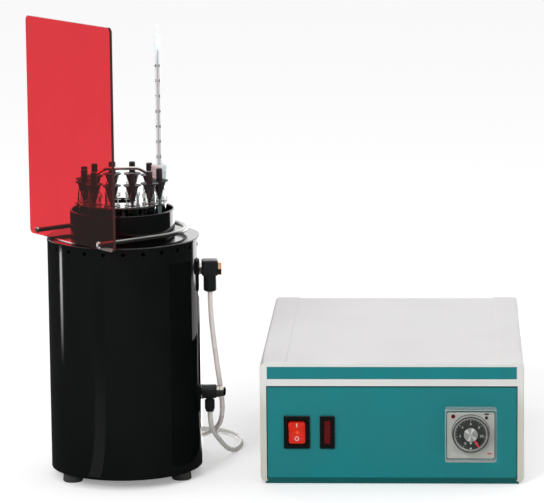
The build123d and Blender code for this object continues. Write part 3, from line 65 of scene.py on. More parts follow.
MM = 0.001
WELD = 1e-7
PRINT_THICK = 0.0001
LEAST_CORNER = 0.3
SMOOTH_ANGLE = math.radians(35.0)
TOWER_TURN = math.radians(5.0)
DUST_TONE = (0.55, 0.54, 0.52)
SOFT_DEPTH = 0.002
SOFT_SPREAD = (1.0, 0.9, 0.8)


class Ray(Enum):
    """Kinds of ray that a shader can tell apart."""

    CAMERA = "Is Camera Ray"
    GLOSSY = "Is Glossy Ray"
    TRANSMISSION = "Is Transmission Ray"
    SHADOW = "Is Shadow Ray"
    SCATTERED = "Diffuse Depth"
    MIRRORED = "Glossy Depth"


class Axis(Enum):
    """Directions that a turned piece can follow."""

    OUT_OF_FRONT = (0.0, -1.0, 0.0)
    UP = (0.0, 0.0, 1.0)


# Meshes from arrays


def weld_and_smooth(mesh: bpy.types.Mesh, angle: float = SMOOTH_ANGLE) -> bpy.types.Mesh:
    """Merges a mesh's doubles, turns its faces outwards and smooths all but its sharp edges.

    Args:
        mesh: The mesh, changed in place.
        angle: Edges that turn by more than this stay sharp, in radians.

    Returns:
        The same mesh.
    """
    work = bmesh.new()
    work.from_mesh(mesh)
    bmesh.ops.remove_doubles(work, verts=work.verts, dist=WELD)
    bmesh.ops.recalc_face_normals(work, faces=work.faces)
    work.to_mesh(mesh)
    work.free()
    mesh.shade_smooth()
    mesh.set_sharp_from_angle(angle=angle)
    return mesh


def grid_mesh(name: str, points: np.ndarray, wrap: bool = True, ends: bool = True) -> bpy.types.Mesh:
    """Mesh over a grid of points.

    The face of cell (i, j) joins points (i, j), (i, j + 1), (i + 1, j + 1) and (i + 1, j).

    Args:
        name: The mesh's name.
        points: Array of rows by columns by 3.
        wrap: Whether each row closes on itself.
        ends: Whether the first and last rows are closed with a face.

    Returns:
        The mesh, welded, with its faces outwards.
    """
    rows, columns = points.shape[:2]
    index = np.arange(rows * columns).reshape(rows, columns)
    if wrap:
        index = np.concatenate([index, index[:, :1]], axis=1)
    cells = [index[:-1, :-1], index[:-1, 1:], index[1:, 1:], index[1:, :-1]]
    faces = np.stack(cells, axis=-1).reshape(-1, 4).tolist()
    if ends:
        faces += [index[0, :columns][::-1].tolist(), index[-1, :columns].tolist()]
    mesh = bpy.data.meshes.new(name)
    mesh.from_pydata(points.reshape(-1, 3).tolist(), [], faces)
    return weld_and_smooth(mesh)


def frame_of(axis: Axis) -> tuple[np.ndarray, np.ndarray, np.ndarray]:
    """Two directions square to an axis, and the axis itself.

    Args:
        axis: The axis, which is square to X.

    Returns:
        Three unit vectors that form a right-handed set.
    """
    along = np.array(axis.value)
    first = np.array([1.0, 0.0, 0.0])
    return first, np.cross(along, first), along


def turned_mesh(
    name: str, profile: Sequence[tuple[float, float]], centre: Sequence[float], axis: Axis, steps: int = 48,
    ends: bool = True,
) -> bpy.types.Mesh:
    """Surface of revolution.

    A point is centre + radius (cos a first + sin a second) + height along, for each turn angle a and each
    (radius, height) of the profile.

    Args:
        name: The mesh's name.
        profile: The (radius, height) points from one end to the other.
        centre: The point on the axis where height is 0.
        axis: The direction of the axis.
        steps: The number of columns around.
        ends: Whether its first and last rows are closed with a face.

    Returns:
        The closed mesh.
    """
    first, second, along = frame_of(axis)
    turn = np.linspace(0.0, 2.0 * math.pi, steps, endpoint=False)
    rays = np.cos(turn)[:, None] * first + np.sin(turn)[:, None] * second
    shape = np.array(profile)
    points = np.array(centre) + shape[:, None, :1] * rays[None] + shape[:, None, 1:] * along
    return grid_mesh(name, points, ends=ends)


def ring_mesh(
    name: str, radii: tuple[float, float], centre: Sequence[float], heights: tuple[float, float],
    axis: Axis = Axis.OUT_OF_FRONT, steps: int = 72,
) -> bpy.types.Mesh:
    """Flat ring: its rectangular section carried round a circle.

    Args:
        name: The mesh's name.
        radii: The inner and the outer radius.
        centre: The point on the axis where height is 0.
        heights: Where it starts and ends along the axis.
        axis: The direction of the axis.
        steps: The number of columns around.

    Returns:
        The closed mesh.
    """
    (inner, outer), (low, high) = radii, heights
    profile = [(inner, low), (outer, low), (outer, high), (inner, high), (inner, low)]
    return turned_mesh(name, profile, centre, axis, steps, ends=False)


def rounded_outline(width: float, height: float, corner: float, steps: int = 6) -> np.ndarray:
    """Outline of a rectangle with round corners, as corner centres plus corner (cos a, sin a).

    Args:
        width: Its size along the first axis.
        height: Its size along the second axis.
        corner: The corners' radius.
        steps: The number of points in each corner.

    Returns:
        Array of points by 2, once around.
    """
    angles = np.linspace(0.0, math.pi / 2, steps)[None] + np.arange(4)[:, None] * math.pi / 2
    signs = np.array([(1, 1), (-1, 1), (-1, -1), (1, -1)])
    middles = signs * np.array([width / 2 - corner, height / 2 - corner])
    arcs = middles[:, None] + corner * np.stack([np.cos(angles), np.sin(angles)], axis=-1)
    return arcs.reshape(-1, 2)


def front_plate(
    name: str, size: tuple[float, float], corner: float, depth: float, centre: Point, edge: float
) -> bpy.types.Mesh:
    """Thin plate that lies on a front plane, with its outer edge rounded off.

    Row k of the grid is the outline drawn in by an inset at a height of 0, depth - edge and depth.

    Args:
        name: The mesh's name.
        size: Width along X and height along Z.
        corner: The corners' radius.
        depth: How far it stands out of the plane, along -Y.
        centre: The middle of its back face.
        edge: The chamfer of its front edge.

    Returns:
        The closed mesh.
    """
    rows = []
    for inset, out in ((0.0, 0.0), (0.0, depth - edge), (edge, depth)):
        bend = max(corner - inset, corner * LEAST_CORNER)
        outline = rounded_outline(size[0] - 2 * inset, size[1] - 2 * inset, bend)
        rows.append(np.column_stack([outline[:, 0], np.full(len(outline), -out), outline[:, 1]]))
    return grid_mesh(name, np.array(rows) + np.array(centre))


def bars_mesh(name: str, places: np.ndarray, sizes: np.ndarray) -> bpy.types.Mesh:
    """Many small bars in one mesh: each is the unit cube's corners times its size, carried by its matrix.

    Args:
        name: The mesh's name.
        places: Array of bars by 4 by 4, one matrix for each.
        sizes: Array of bars by 3.

    Returns:
        The mesh of closed bars.
    """
    cube = np.array([(x, y, z) for z in (-0.5, 0.5) for y in (-0.5, 0.5) for x in (-0.5, 0.5)])
    sides = np.array([(0, 2, 3, 1), (4, 5, 7, 6), (0, 1, 5, 4), (2, 6, 7, 3), (0, 4, 6, 2), (1, 3, 7, 5)])
    corners = cube[None] * sizes[:, None]
    points = np.einsum("nij,nkj->nki", places[:, :3, :3], corners) + places[:, None, :3, 3]
    faces = sides[None] + 8 * np.arange(len(sizes))[:, None, None]
    mesh = bpy.data.meshes.new(name)
    mesh.from_pydata(points.reshape(-1, 3).tolist(), [], faces.reshape(-1, 4).tolist())
    return mesh


def lettering(text: str, height: float, depth: float, bold: float = 0.0) -> bpy.types.Mesh:
    """Mesh of a plain sign, centred on the origin in the XY plane and facing +Z.

    Args:
        text: The sign.
        height: The size of its letters.
        depth: Its thickness.
        bold: How far its strokes are widened to each side.

    Returns:
        The mesh.
    """
    curve = bpy.data.curves.new("sign", "FONT")
    curve.offset = bold
    curve.body = text
    curve.size = height
    curve.extrude = depth / 2
    curve.align_x = "CENTER"
    curve.align_y = "CENTER"
    holder = bpy.data.objects.new("sign", curve)
    bpy.context.scene.collection.objects.link(holder)
    graph = bpy.context.evaluated_depsgraph_get()
    mesh = bpy.data.meshes.new_from_object(holder.evaluated_get(graph))
    bpy.data.objects.remove(holder)
    bpy.data.curves.remove(curve)
    mesh.materials.clear()
    return mesh


def joined(name: str, parts: Iterable[tuple[bpy.types.Mesh, Matrix]]) -> bpy.types.Mesh:
    """One mesh of several, each carried by its own matrix.

    Args:
        name: The mesh's name.
        parts: Pairs of mesh and matrix; the meshes are used up.

    Returns:
        The new mesh.
    """
    work = bmesh.new()
    for mesh, place in parts:
        mesh.transform(place)
        work.from_mesh(mesh)
        bpy.data.meshes.remove(mesh)
    result = bpy.data.meshes.new(name)
    work.to_mesh(result)
    work.free()
    return result


def middle_of(node: str) -> Vector:
    """Middle of a solid's box."""
    low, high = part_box(node)
    return (low + high) / 2


def in_front(x: float, z: float, y: float, turn: float = 0.0) -> Matrix:
    """Matrix that puts a piece drawn in the XY plane, facing +Z, on a front plane.

    Args:
        x: Its place across.
        z: Its height.
        y: The depth of the plane.
        turn: How far it turns clockwise, seen from the front, in radians.

    Returns:
        The matrix.
    """
    upright = Matrix.Rotation(math.pi / 2, 4, "X")
    return Matrix.Translation((x, y, z)) @ upright @ Matrix.Rotation(-turn, 4, "Z")


# Shaders


class Graph:
    """Places shader nodes in a tree and joins their sockets."""

    def __init__(self, tree: bpy.types.NodeTree) -> None:
        """Starts with an empty tree."""
        self.tree = tree
        tree.nodes.clear()

    def add(self, kind: str, values: Values | None = None, **settings: object) -> bpy.types.Node:
        """Adds a node.

        Args:
            kind: The node's type.
            values: For each input socket, a value or the socket that feeds it.
            settings: The node's own properties.

        Returns:
            The new node.
        """
        node = self.tree.nodes.new(kind)
        for key, value in settings.items():
            setattr(node, key, value)
        for key, value in (values or {}).items():
            if isinstance(value, bpy.types.NodeSocket):
                self.tree.links.new(value, node.inputs[key])
            else:
                node.inputs[key].default_value = value
        return node

    def math(self, operation: str, first: Socket | float, second: Socket | float = 0.0) -> Socket:
        """Result of a sum on two sockets or numbers."""
        return self.add("ShaderNodeMath", {0: first, 1: second}, operation=operation).outputs[0]

    def step(self, value: Socket, low: float, high: float, start: float = 0.0, end: float = 1.0) -> Socket:
        """Smooth step of a value between two bounds, from start to end."""
        values = {"Value": value, "From Min": low, "From Max": high, "To Min": start, "To Max": end}
        return self.add("ShaderNodeMapRange", values, interpolation_type="SMOOTHSTEP").outputs["Result"]

    def mix(self, share: Socket, first: object, second: object) -> Socket:
        """Colour between two, by a share."""
        node = self.add("ShaderNodeMix", {"Factor": share}, data_type="RGBA")
        for key, value in ((6, first), (7, second)):
            if isinstance(value, bpy.types.NodeSocket):
                self.tree.links.new(value, node.inputs[key])
            else:
                node.inputs[key].default_value = (*value, 1.0)
        return node.outputs[2]

    def blend(self, share: Socket, first: Socket | float, second: Socket | float) -> Socket:
        """Number between two, by a share."""
        return self.add("ShaderNodeMix", {0: share, 2: first, 3: second}).outputs[0]

    def vector(self, operation: str, first: Socket, second: Socket | Point = (0.0, 0.0, 0.0)) -> Socket:
        """Result of a sum on two vectors: a number for a distance or a dot product, else a vector."""
        node = self.add("ShaderNodeVectorMath", {0: first, 1: second}, operation=operation)
        return node.outputs["Value" if operation in ("DISTANCE", "DOT_PRODUCT") else "Vector"]

    def place(self, output: str = "Object") -> Socket:
        """Place of the shaded point, in the object's own coordinates unless told otherwise."""
        return self.add("ShaderNodeTexCoord").outputs[output]

    def part(self, vector: Socket, name: str) -> Socket:
        """X, Y or Z of a vector."""
        return self.add("ShaderNodeSeparateXYZ", {0: vector}).outputs[name]

    def noise(self, scale: Socket | float, detail: float, place: Socket | None = None) -> Socket:
        """Noise of a place, which is the object's coordinates if none is given."""
        at = self.place() if place is None else place
        return self.add("ShaderNodeTexNoise", {"Vector": at, "Scale": scale, "Detail": detail}).outputs["Fac"]

    def tint(self, shader: bpy.types.Node, share: Socket, tone: Colour) -> None:
        """Mixes a tone into a shader's base colour, by a share."""
        base = shader.inputs["Base Color"]
        self.tree.links.new(self.mix(share, base.links[0].from_socket, tone), base)


def new_material(name: str) -> tuple[bpy.types.Material, Graph]:
    """A new material and the graph of its nodes, still empty."""
    material = bpy.data.materials.new(name)
    material.use_nodes = True
    return material, Graph(material.node_tree)


class Pattern(Enum):
    """Shared effects, each a node group that is built once."""

    MOTTLE = "mottle"
    GRAIN = "grain"
    BRUSHING = "brushing"
    DUST = "dust"


class PatternShop:
    """Builds the shared node groups when they are first asked for."""

    def __init__(self) -> None:
        """Starts with none built."""
        self.built: dict[Pattern, bpy.types.NodeTree] = {}

    def get(self, pattern: Pattern) -> bpy.types.NodeTree:
        """The node group of a pattern."""
        if pattern not in self.built:
            tree = bpy.data.node_groups.new(pattern.value, "ShaderNodeTree")
            getattr(self, f"_{pattern.value}")(Graph(tree))
            self.built[pattern] = tree
        return self.built[pattern]

    @staticmethod
    def _given(
        graph: Graph, inputs: dict[str, str], outputs: dict[str, str]
    ) -> bpy.types.bpy_prop_collection:
        """Declares a group's sockets, each a name and a type, and puts out what the group is given."""
        for names, side in ((inputs, "INPUT"), (outputs, "OUTPUT")):
            for name, kind in names.items():
                graph.tree.interface.new_socket(name=name, in_out=side, socket_type=f"NodeSocket{kind}")
        return graph.add("NodeGroupInput").outputs

    def _mottle(self, graph: Graph) -> None:
        """Soft patches of two colours: noise of the object's coordinates, stepped between 0.35 and 0.65."""
        inputs = {"Scale": "Float", "Light": "Color", "Dark": "Color"}
        given = self._given(graph, inputs, {"Colour": "Color", "Mask": "Float"})
        mask = graph.step(graph.noise(given["Scale"], 4.0), 0.35, 0.65)
        colour = graph.mix(mask, given["Light"], given["Dark"])
        graph.add("NodeGroupOutput", {"Colour": colour, "Mask": mask})

    def _grain(self, graph: Graph) -> None:
        """Fine unevenness: noise of the object's coordinates."""
        given = self._given(graph, {"Scale": "Float"}, {"Height": "Float"})
        graph.add("NodeGroupOutput", {"Height": graph.noise(given["Scale"], 2.0)})

    def _brushing(self, graph: Graph) -> None:
        """Fine lines: noise of the object's coordinates, stretched along the lines by a given vector."""
        given = self._given(graph, {"Stretch": "Vector"}, {"Height": "Float"})
        scaled = graph.vector("MULTIPLY", graph.place(), given["Stretch"])
        graph.add("NodeGroupOutput", {"Height": graph.noise(1.0, 3.0, scaled)})

    def _dust(self, graph: Graph) -> None:
        """Where dust settles: faces that look up, broken by noise."""
        given = self._given(graph, {"Scale": "Float", "Amount": "Float"}, {"Mask": "Float"})
        noise = graph.step(graph.noise(given["Scale"], 5.0), 0.4, 0.75)
        facing = graph.part(graph.add("ShaderNodeNewGeometry").outputs["Normal"], "Z")
        settled = graph.math("MULTIPLY", graph.step(facing, 0.3, 1.0), noise)
        graph.add("NodeGroupOutput", {"Mask": graph.math("MULTIPLY", settled, given["Amount"])})


patterns = PatternShop()


@dataclass(frozen=True)
class Finish:
    """A surface finish: what every finish shares.

    Tones are linear colours. The bump is a height in metres over a grain of a given scale. The painted shade
    tone takes over below the height bounds: painted shade on the lower part of a solid.
    """

    name: str
    tone: Colour
    shade: Colour
    roughness: float = 0.4
    spread: float = 0.05
    patch: float = 20.0
    grain: float = 800.0
    bump: float = 0.00002
    dust: float = 0.0
    coat: float = 0.0
    metal: float = 0.0
    ior: float = 1.5
    clear: float = 0.0
    soft: float = 0.0
    low_tone: Colour | None = None
    low_bounds: tuple[float, float] = (0.0, 0.0)
    stretch: Point | None = None

    def build(self) -> bpy.types.Material:
        """Makes the finish's material.

        Returns:
            The material.
        """
        material, graph = new_material(self.name)
        colour, mask = self.colours(graph)
        low, high = max(self.roughness - self.spread, 0.0), self.roughness + self.spread
        values: Values = {
            "Base Color": colour,
            "Roughness": graph.step(mask, 0.0, 1.0, low, high),
            "Metallic": self.metal,
            "IOR": self.ior,
            "Coat Weight": self.coat,
            "Transmission Weight": self.clear,
            "Normal": self.relief(graph),
        }
        if self.soft:
            values |= {
                "Subsurface Weight": self.soft,
                "Subsurface Scale": SOFT_DEPTH,
                "Subsurface Radius": SOFT_SPREAD,
            }
        shader = graph.add("ShaderNodeBsdfPrincipled", values)
        graph.add("ShaderNodeOutputMaterial", {"Surface": self.extend(graph, shader)})
        return material

    def colours(self, graph: Graph) -> tuple[Socket, Socket]:
        """Base colour and the mask that roughness follows."""
        tones = {"Scale": self.patch, "Light": (*self.tone, 1.0), "Dark": (*self.shade, 1.0)}
        patch = graph.add("ShaderNodeGroup", tones, node_tree=patterns.get(Pattern.MOTTLE))
        colour = patch.outputs["Colour"]
        if self.dust:
            amount = {"Scale": self.patch * 8, "Amount": self.dust}
            settled = graph.add("ShaderNodeGroup", amount, node_tree=patterns.get(Pattern.DUST))
            colour = graph.mix(settled.outputs["Mask"], colour, DUST_TONE)
        # Painted shade: below the height bounds the colour turns to the painted shade tone.
        if self.low_tone:
            share = graph.step(graph.part(graph.place(), "Z"), *self.low_bounds)
            colour = graph.mix(share, self.low_tone, colour)
        return colour, patch.outputs["Mask"]

    def relief(self, graph: Graph) -> Socket:
        """Normal that carries the fine unevenness."""
        if self.stretch:
            pattern, values = Pattern.BRUSHING, {"Stretch": self.stretch}
        else:
            pattern, values = Pattern.GRAIN, {"Scale": self.grain}
        height = graph.add("ShaderNodeGroup", values, node_tree=patterns.get(pattern)).outputs["Height"]
        values = {"Height": height, "Distance": self.bump, "Strength": 1.0}
        return graph.add("ShaderNodeBump", values).outputs[0]

    def extend(self, graph: Graph, shader: bpy.types.Node) -> Socket:
        """What the surface shows: the shader, with what one finish adds to it."""
        return shader.outputs[0]


@dataclass(frozen=True)
class ClearFinish(Finish):
    """Glass or clear plastic that lets lamps through in its own tint.

    The painted haze is painted light, an emission that stands in for the light its surface scatters back, as
    a share of white, and the painted rim light is the same where the surface is seen nearly edge on. The edge
    is a
    tone painted there: painted shade along the outline.
    """

    clear: float = 1.0
    bump: float = 0.000001
    tint: Colour = (0.95, 0.95, 0.95)
    haze: Colour = (0.0, 0.0, 0.0)
    rim: Colour | None = None
    # Painted shade: a darker tone mixed in where the surface is seen edge on.
    edge: Colour | None = None
    grazing: tuple[float, float] = (0.55, 0.85)

    def extend(self, graph: Graph, shader: bpy.types.Node) -> Socket:
        """Adds the painted haze, the painted rim light and edge shade, and a plain see-through shader for
        rays from lamps.
        """
        # Painted light: the haze is an emission in the surface.
        shader.inputs["Emission Color"].default_value = (*self.haze, 1.0)
        shader.inputs["Emission Strength"].default_value = 1.0
        facing = graph.add("ShaderNodeLayerWeight", {"Blend": 0.5}).outputs["Facing"]
        slanting = graph.step(facing, *self.grazing)
        # Painted light: emission on the rim, where the surface is seen edge on.
        if self.rim:
            graph.tree.links.new(graph.mix(slanting, self.haze, self.rim), shader.inputs["Emission Color"])
        # Painted shade: the edge tone darkens the outline where the surface is seen edge on.
        if self.edge:
            graph.tint(shader, slanting, self.edge)
        rays = graph.add("ShaderNodeLightPath")
        through = graph.add("ShaderNodeBsdfTransparent", {"Color": (*self.tint, 1.0)})
        values = {0: rays.outputs[Ray.SHADOW.value], 1: shader.outputs[0], 2: through.outputs[0]}
        return graph.add("ShaderNodeMixShader", values).outputs[0]


@dataclass(frozen=True)
class GlowingFinish(Finish):
    """A translucent finish with a painted glow round one spot."""

    glow: Colour = (1.0, 0.3, 0.05)
    spot: Point = (0.0, 0.0, 0.0)
    reach: float = 0.004

    def extend(self, graph: Graph, shader: bpy.types.Node) -> Socket:
        """Adds the painted glow: it falls off smoothly with the distance from the spot."""
        away = graph.vector("DISTANCE", graph.place(), self.spot)
        light = graph.mix(graph.step(away, 0.0, self.reach), self.glow, (0.0, 0.0, 0.0))
        graph.tree.links.new(light, shader.inputs["Emission Color"])
        shader.inputs["Emission Strength"].default_value = 1.0
        return shader.outputs[0]


@dataclass(frozen=True)
class SpunFinish(Finish):
    """Metal turned on its face, with a painted highlight in two lines across its middle."""

    middle: Point = (0.0, 0.0, 0.0)
    glint: Colour = (1.0, 1.0, 0.98)
    lines: tuple[float, float] = (math.radians(20.0), math.radians(-48.0))
    sector: tuple[float, float] = (0.95, 0.998)

    def extend(self, graph: Graph, shader: bpy.types.Node) -> Socket:
        """Paints the highlight: brightens the tone by a smooth step of |cos a|, a being the angle from the
        nearer line.
        """
        away = graph.vector("SUBTRACT", graph.place(), self.middle)
        ray = graph.vector("NORMALIZE", graph.vector("MULTIPLY", away, (1.0, 0.0, 1.0)))
        near = []
        for angle in self.lines:
            line = (math.sin(angle), 0.0, math.cos(angle))
            near.append(graph.math("ABSOLUTE", graph.vector("DOT_PRODUCT", ray, line)))
        graph.tint(shader, graph.step(graph.math("MAXIMUM", *near), *self.sector), self.glint)
        return shader.outputs[0]


@dataclass(frozen=True)
class Palette:
    """Every finish of the object."""

    gloss_black: Finish = Finish(
        "gloss_black", (0.0035, 0.0040, 0.0040), (0.0050, 0.0055, 0.0055), 0.07, 0.02, 9.0, 260.0, 0.000006
    )
    dark_enamel: Finish = Finish("dark_enamel", (0.045, 0.045, 0.047), (0.035, 0.035, 0.037), 0.4, dust=0.2)
    rubber: Finish = Finish(
        "rubber", (0.055, 0.052, 0.050), (0.040, 0.040, 0.040), 0.65, 0.1, 60.0, 900.0, 0.00003
    )
    steel: Finish = Finish(
        "steel", (0.60, 0.59, 0.57), (0.52, 0.51, 0.50), 0.24, 0.05, 40.0, metal=1.0, bump=0.000004,
        stretch=(300.0, 300.0, 4000.0),
    )
    rod_steel: Finish = replace(
        steel, name="rod_steel", tone=(0.42, 0.41, 0.40), shade=(0.36, 0.35, 0.34), roughness=0.26
    )
    polished: Finish = Finish(
        "polished", (0.78, 0.75, 0.71), (0.70, 0.67, 0.63), 0.1, 0.04, 60.0, metal=1.0, bump=0.000002
    )
    brass: Finish = Finish(
        "brass", (0.72, 0.44, 0.25), (0.60, 0.34, 0.18), 0.25, 0.06, 200.0, metal=1.0, bump=0.000004
    )
    ceramic: Finish = Finish("ceramic", (0.80, 0.78, 0.74), (0.74, 0.72, 0.68), 0.2, 0.05, 60.0)
    plastic: Finish = Finish(
        "plastic", (0.016, 0.018, 0.018), (0.012, 0.013, 0.013), 0.38, 0.06, 90.0, 2600.0, 0.000012
    )
    stopper: Finish = Finish(
        "stopper", (0.030, 0.027, 0.030), (0.022, 0.020, 0.023), 0.5, 0.08, 120.0, 2200.0, 0.00002, dust=0.12
    )
    quartz: Finish = ClearFinish(
        "quartz", (0.97, 0.99, 0.99), (0.95, 0.98, 0.98), 0.0, 0.004, ior=1.46
    )
    stem_glass: Finish = ClearFinish(
        "stem_glass", (0.965, 0.985, 0.985), (0.955, 0.975, 0.975), 0.01, 0.01, ior=1.2,
        haze=(0.030, 0.035, 0.035), edge=(0.66, 0.67, 0.67), grazing=(0.6, 0.95),
    )
    # Painted light: a cool tint that offsets the red light reaching the bush through the shield.
    bush: Finish = Finish(
        "bush", (0.80, 0.98, 0.98), (0.77, 0.95, 0.95), 0.3, 0.06, 90.0, clear=0.12, soft=0.5
    )
    acrylic: Finish = ClearFinish(
        "acrylic", (0.76, 0.034, 0.048), (0.74, 0.032, 0.046), 0.015, 0.01, ior=1.18, bump=0.0000005,
        tint=(0.56, 0.50, 0.51), haze=(0.010, 0.013, 0.012), edge=(0.09, 0.007, 0.010),
    )
    pale_enamel: Finish = Finish(
        "pale_enamel", (0.750, 0.738, 0.738), (0.738, 0.726, 0.726), 0.5, 0.01, 14.0, 1500.0, 0.000012
    )
    # Painted shade: the frame's lower part takes a darker, warmer tone, by height.
    warm_enamel: Finish = Finish(
        "warm_enamel", (0.69, 0.70, 0.68), (0.67, 0.68, 0.66), 0.4, 0.05, 20.0, 1500.0, 0.00002,
        low_tone=(0.55, 0.54, 0.47), low_bounds=(0.070, 0.105),
    )
    teal: Finish = Finish(
        "teal", (0.003, 0.206, 0.221), (0.002, 0.193, 0.207), 0.38, 0.05, 12.0, 1800.0, 0.000015
    )
    strip: Finish = Finish(
        "strip", (0.003, 0.208, 0.226), (0.002, 0.198, 0.215), 0.35, 0.04, 30.0, 1800.0, 0.00001
    )
    lens: Finish = Finish(
        "lens", (0.115, 0.008, 0.010), (0.085, 0.006, 0.008), 0.12, 0.04, 150.0, 600.0, 0.00001, soft=0.2
    )
    dial: Finish = Finish("dial", (0.038, 0.038, 0.034), (0.033, 0.033, 0.029), 0.45, 0.05, 200.0)
    case_grey: Finish = Finish("case_grey", (0.11, 0.11, 0.105), (0.095, 0.095, 0.090), 0.45, 0.05, 200.0)
    silver: Finish = Finish(
        "silver", (0.56, 0.555, 0.52), (0.53, 0.525, 0.49), 0.35, 0.05, 60.0, metal=0.35, bump=0.000004
    )
    bezel: Finish = Finish(
        "bezel", (0.0055, 0.0060, 0.0060), (0.0045, 0.0050, 0.0050), 0.3, 0.05, 90.0, 2600.0, 0.00001
    )
    # Painted shade: the near-black tone of the strips in the panel's gap.
    seal: Finish = Finish("seal", (0.0020, 0.0080, 0.0080), (0.0016, 0.0070, 0.0070), 0.8)
    cover: Finish = ClearFinish(
        "cover", (0.95, 0.97, 0.96), (0.93, 0.95, 0.94), 0.02, 0.01, ior=1.16,
        rim=(0.17, 0.14, 0.135), edge=(0.32, 0.24, 0.24),
    )
    disc: Finish = ClearFinish(
        "disc", (0.93, 0.94, 0.94), (0.90, 0.91, 0.91), 0.02, 0.01, ior=1.16,
        rim=(0.20, 0.20, 0.19), edge=(0.40, 0.40, 0.39),
    )
    print_white: Finish = Finish("print_white", (0.72, 0.72, 0.70), (0.66, 0.66, 0.64), 0.5)
    print_dark: Finish = Finish("print_dark", (0.030, 0.025, 0.030), (0.022, 0.018, 0.022), 0.5)
    print_red: Finish = Finish("print_red", (0.62, 0.030, 0.035), (0.52, 0.022, 0.028), 0.4)
    column_grey: Finish = Finish("column_grey", (0.30, 0.23, 0.24), (0.26, 0.20, 0.21), 0.4)
    # Painted light: a cool tint that offsets the red light reaching the white back through the shield.
    back_white: Finish = Finish("back_white", (0.81, 0.98, 0.99), (0.78, 0.95, 0.96), 0.5)
    hose_rose: Finish = Finish(
        "hose_rose", (0.93, 0.85, 0.83), (0.90, 0.82, 0.80), 0.25, 0.04, 12.0, 120.0, 0.000004, ior=1.41,
        clear=0.15, soft=0.5,
    )
    hose_grey: Finish = Finish(
        "hose_grey", (0.86, 0.85, 0.81), (0.82, 0.81, 0.77), 0.25, 0.04, 12.0, 120.0, 0.000004, ior=1.41,
        clear=0.15, soft=0.5,
    )


class Wardrobe:
    """Builds each finish once and dresses the frame's solids in it."""

    def __init__(self, palette: Palette) -> None:
        """Keeps the palette and an empty store."""
        self.palette = palette
        self.store: dict[str, bpy.types.Material] = {}

    def material(self, name: str) -> bpy.types.Material:
        """The material of a finish in the palette."""
        if name not in self.store:
            self.store[name] = getattr(self.palette, name).build()
        return self.store[name]

    def dress(self, finish: str | Finish, nodes: Iterable[str]) -> None:
        """Gives solids of the frame a finish.

        Args:
            finish: The finish, or its name in the palette.
            nodes: The solids' names.
        """
        material = self.material(finish) if isinstance(finish, str) else finish.build()
        for name in nodes:
            solid = frame["nodes"][name]
            solid.data.materials.clear()
            solid.data.materials.append(material)
            log.info("dressed %s in %s", name, material.name)

    def dress_all(self, finishes: dict[str, tuple[str, ...]]) -> None:
        """Gives each finish in a table to its solids."""
        for finish, nodes in finishes.items():
            self.dress(finish, nodes)

    def add(self, name: str, data: bpy.types.ID, finish: str, body: str, slot: str) -> bpy.types.Object:
        """Puts a new piece into the scene, on the body that carries it.

        Args:
            name: The piece's name.
            data: Its mesh or curve, already in place.
            finish: The name of its finish in the palette.
            body: The body that it moves with.
            slot: The record's material slot; not used.

        Returns:
            The new object.
        """
        piece = bpy.data.objects.new(name, data)
        bpy.context.scene.collection.objects.link(piece)
        data.materials.append(self.material(finish))
        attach(piece, body)
        log.info("made %s on %s", name, body)
        return piece


# Hoses


@dataclass(frozen=True)
class Coil:
    """A put-away hose's turns, two abreast and three high.

    Each layer runs once round at both radii and then climbs one hose diameter to the next, where it starts
    at the radius that it ended with.
    """

    centre: tuple[float, float]
    outer: float = 30.0
    inner: float = 25.0
    low: float = 2.6
    pitch: float = 5.0
    layers: int = 3
    steps: int = 16
    change: float = 0.2

    def points(self) -> np.ndarray:
        """Control points of the turns, in millimetres about the tower's axis.

        The angle falls steadily from -90 degrees; radius and height step from one turn to the next over a
        short share of a turn. The radius is widened because a spline runs inside its control points.

        Returns:
            Array of points by 3.
        """
        radii = [self.outer if (turn + 1) // 2 % 2 == 0 else self.inner for turn in range(2 * self.layers)]
        heights = [self.low + self.pitch * (turn // 2) for turn in range(2 * self.layers)]
        count = len(radii)
        bounds = np.repeat(np.arange(count + 1.0), 2)[1:-1]
        bounds[2::2] += self.change / 2
        bounds[1:-1:2] -= self.change / 2
        turn = np.arange(0.0, count + 0.5 / self.steps, 1.0 / self.steps)
        widened = np.interp(turn, bounds, np.repeat(radii, 2)) / math.cos(math.pi / self.steps)
        angle = -math.pi / 2 - 2 * math.pi * turn
        x = self.centre[0] + widened * np.cos(angle)
        y = self.centre[1] + widened * np.sin(angle)
        return np.column_stack([x, y, np.interp(turn, bounds, np.repeat(heights, 2))])


@dataclass(frozen=True)
class CoolingHose:
    """A hose from its fitting down to the bench and behind the tower, where the rest lies in a coil."""

    name: str
    finish: str
    solids: tuple[str, str]
    route: tuple[Point, ...]
    coil: Coil
    length: float
    diameter: float = 0.005

    def build(self, wardrobe: Wardrobe, axis: Vector) -> None:
        """Makes the hose as one smooth spline through its route and coil.

        Args:
            wardrobe: Where its finish comes from.
            axis: The foot of the tower's axis.
        """
        points = np.vstack([np.array(self.route), self.coil.points()]) * MM
        cosine, sine = math.cos(TOWER_TURN), math.sin(TOWER_TURN)
        placed = points @ np.array([[cosine, sine, 0.0], [-sine, cosine, 0.0], [0.0, 0.0, 1.0]])
        placed += np.array([axis.x, axis.y, 0.0])
        curve = bpy.data.curves.new(self.name, "CURVE")
        curve.dimensions = "3D"
        curve.bevel_depth = self.diameter / 2
        curve.bevel_resolution = 5
        curve.use_fill_caps = True
        spline = curve.splines.new("NURBS")
        spline.points.add(len(placed) - 1)
        spline.points.foreach_set("co", np.column_stack([placed, np.ones(len(placed))]).ravel())
        spline.order_u = 3
        spline.use_endpoint_u = True
        spline.resolution_u = 8
        piece = wardrobe.add(self.name, curve, self.finish, "root", "hose_clear")
        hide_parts(*self.solids)


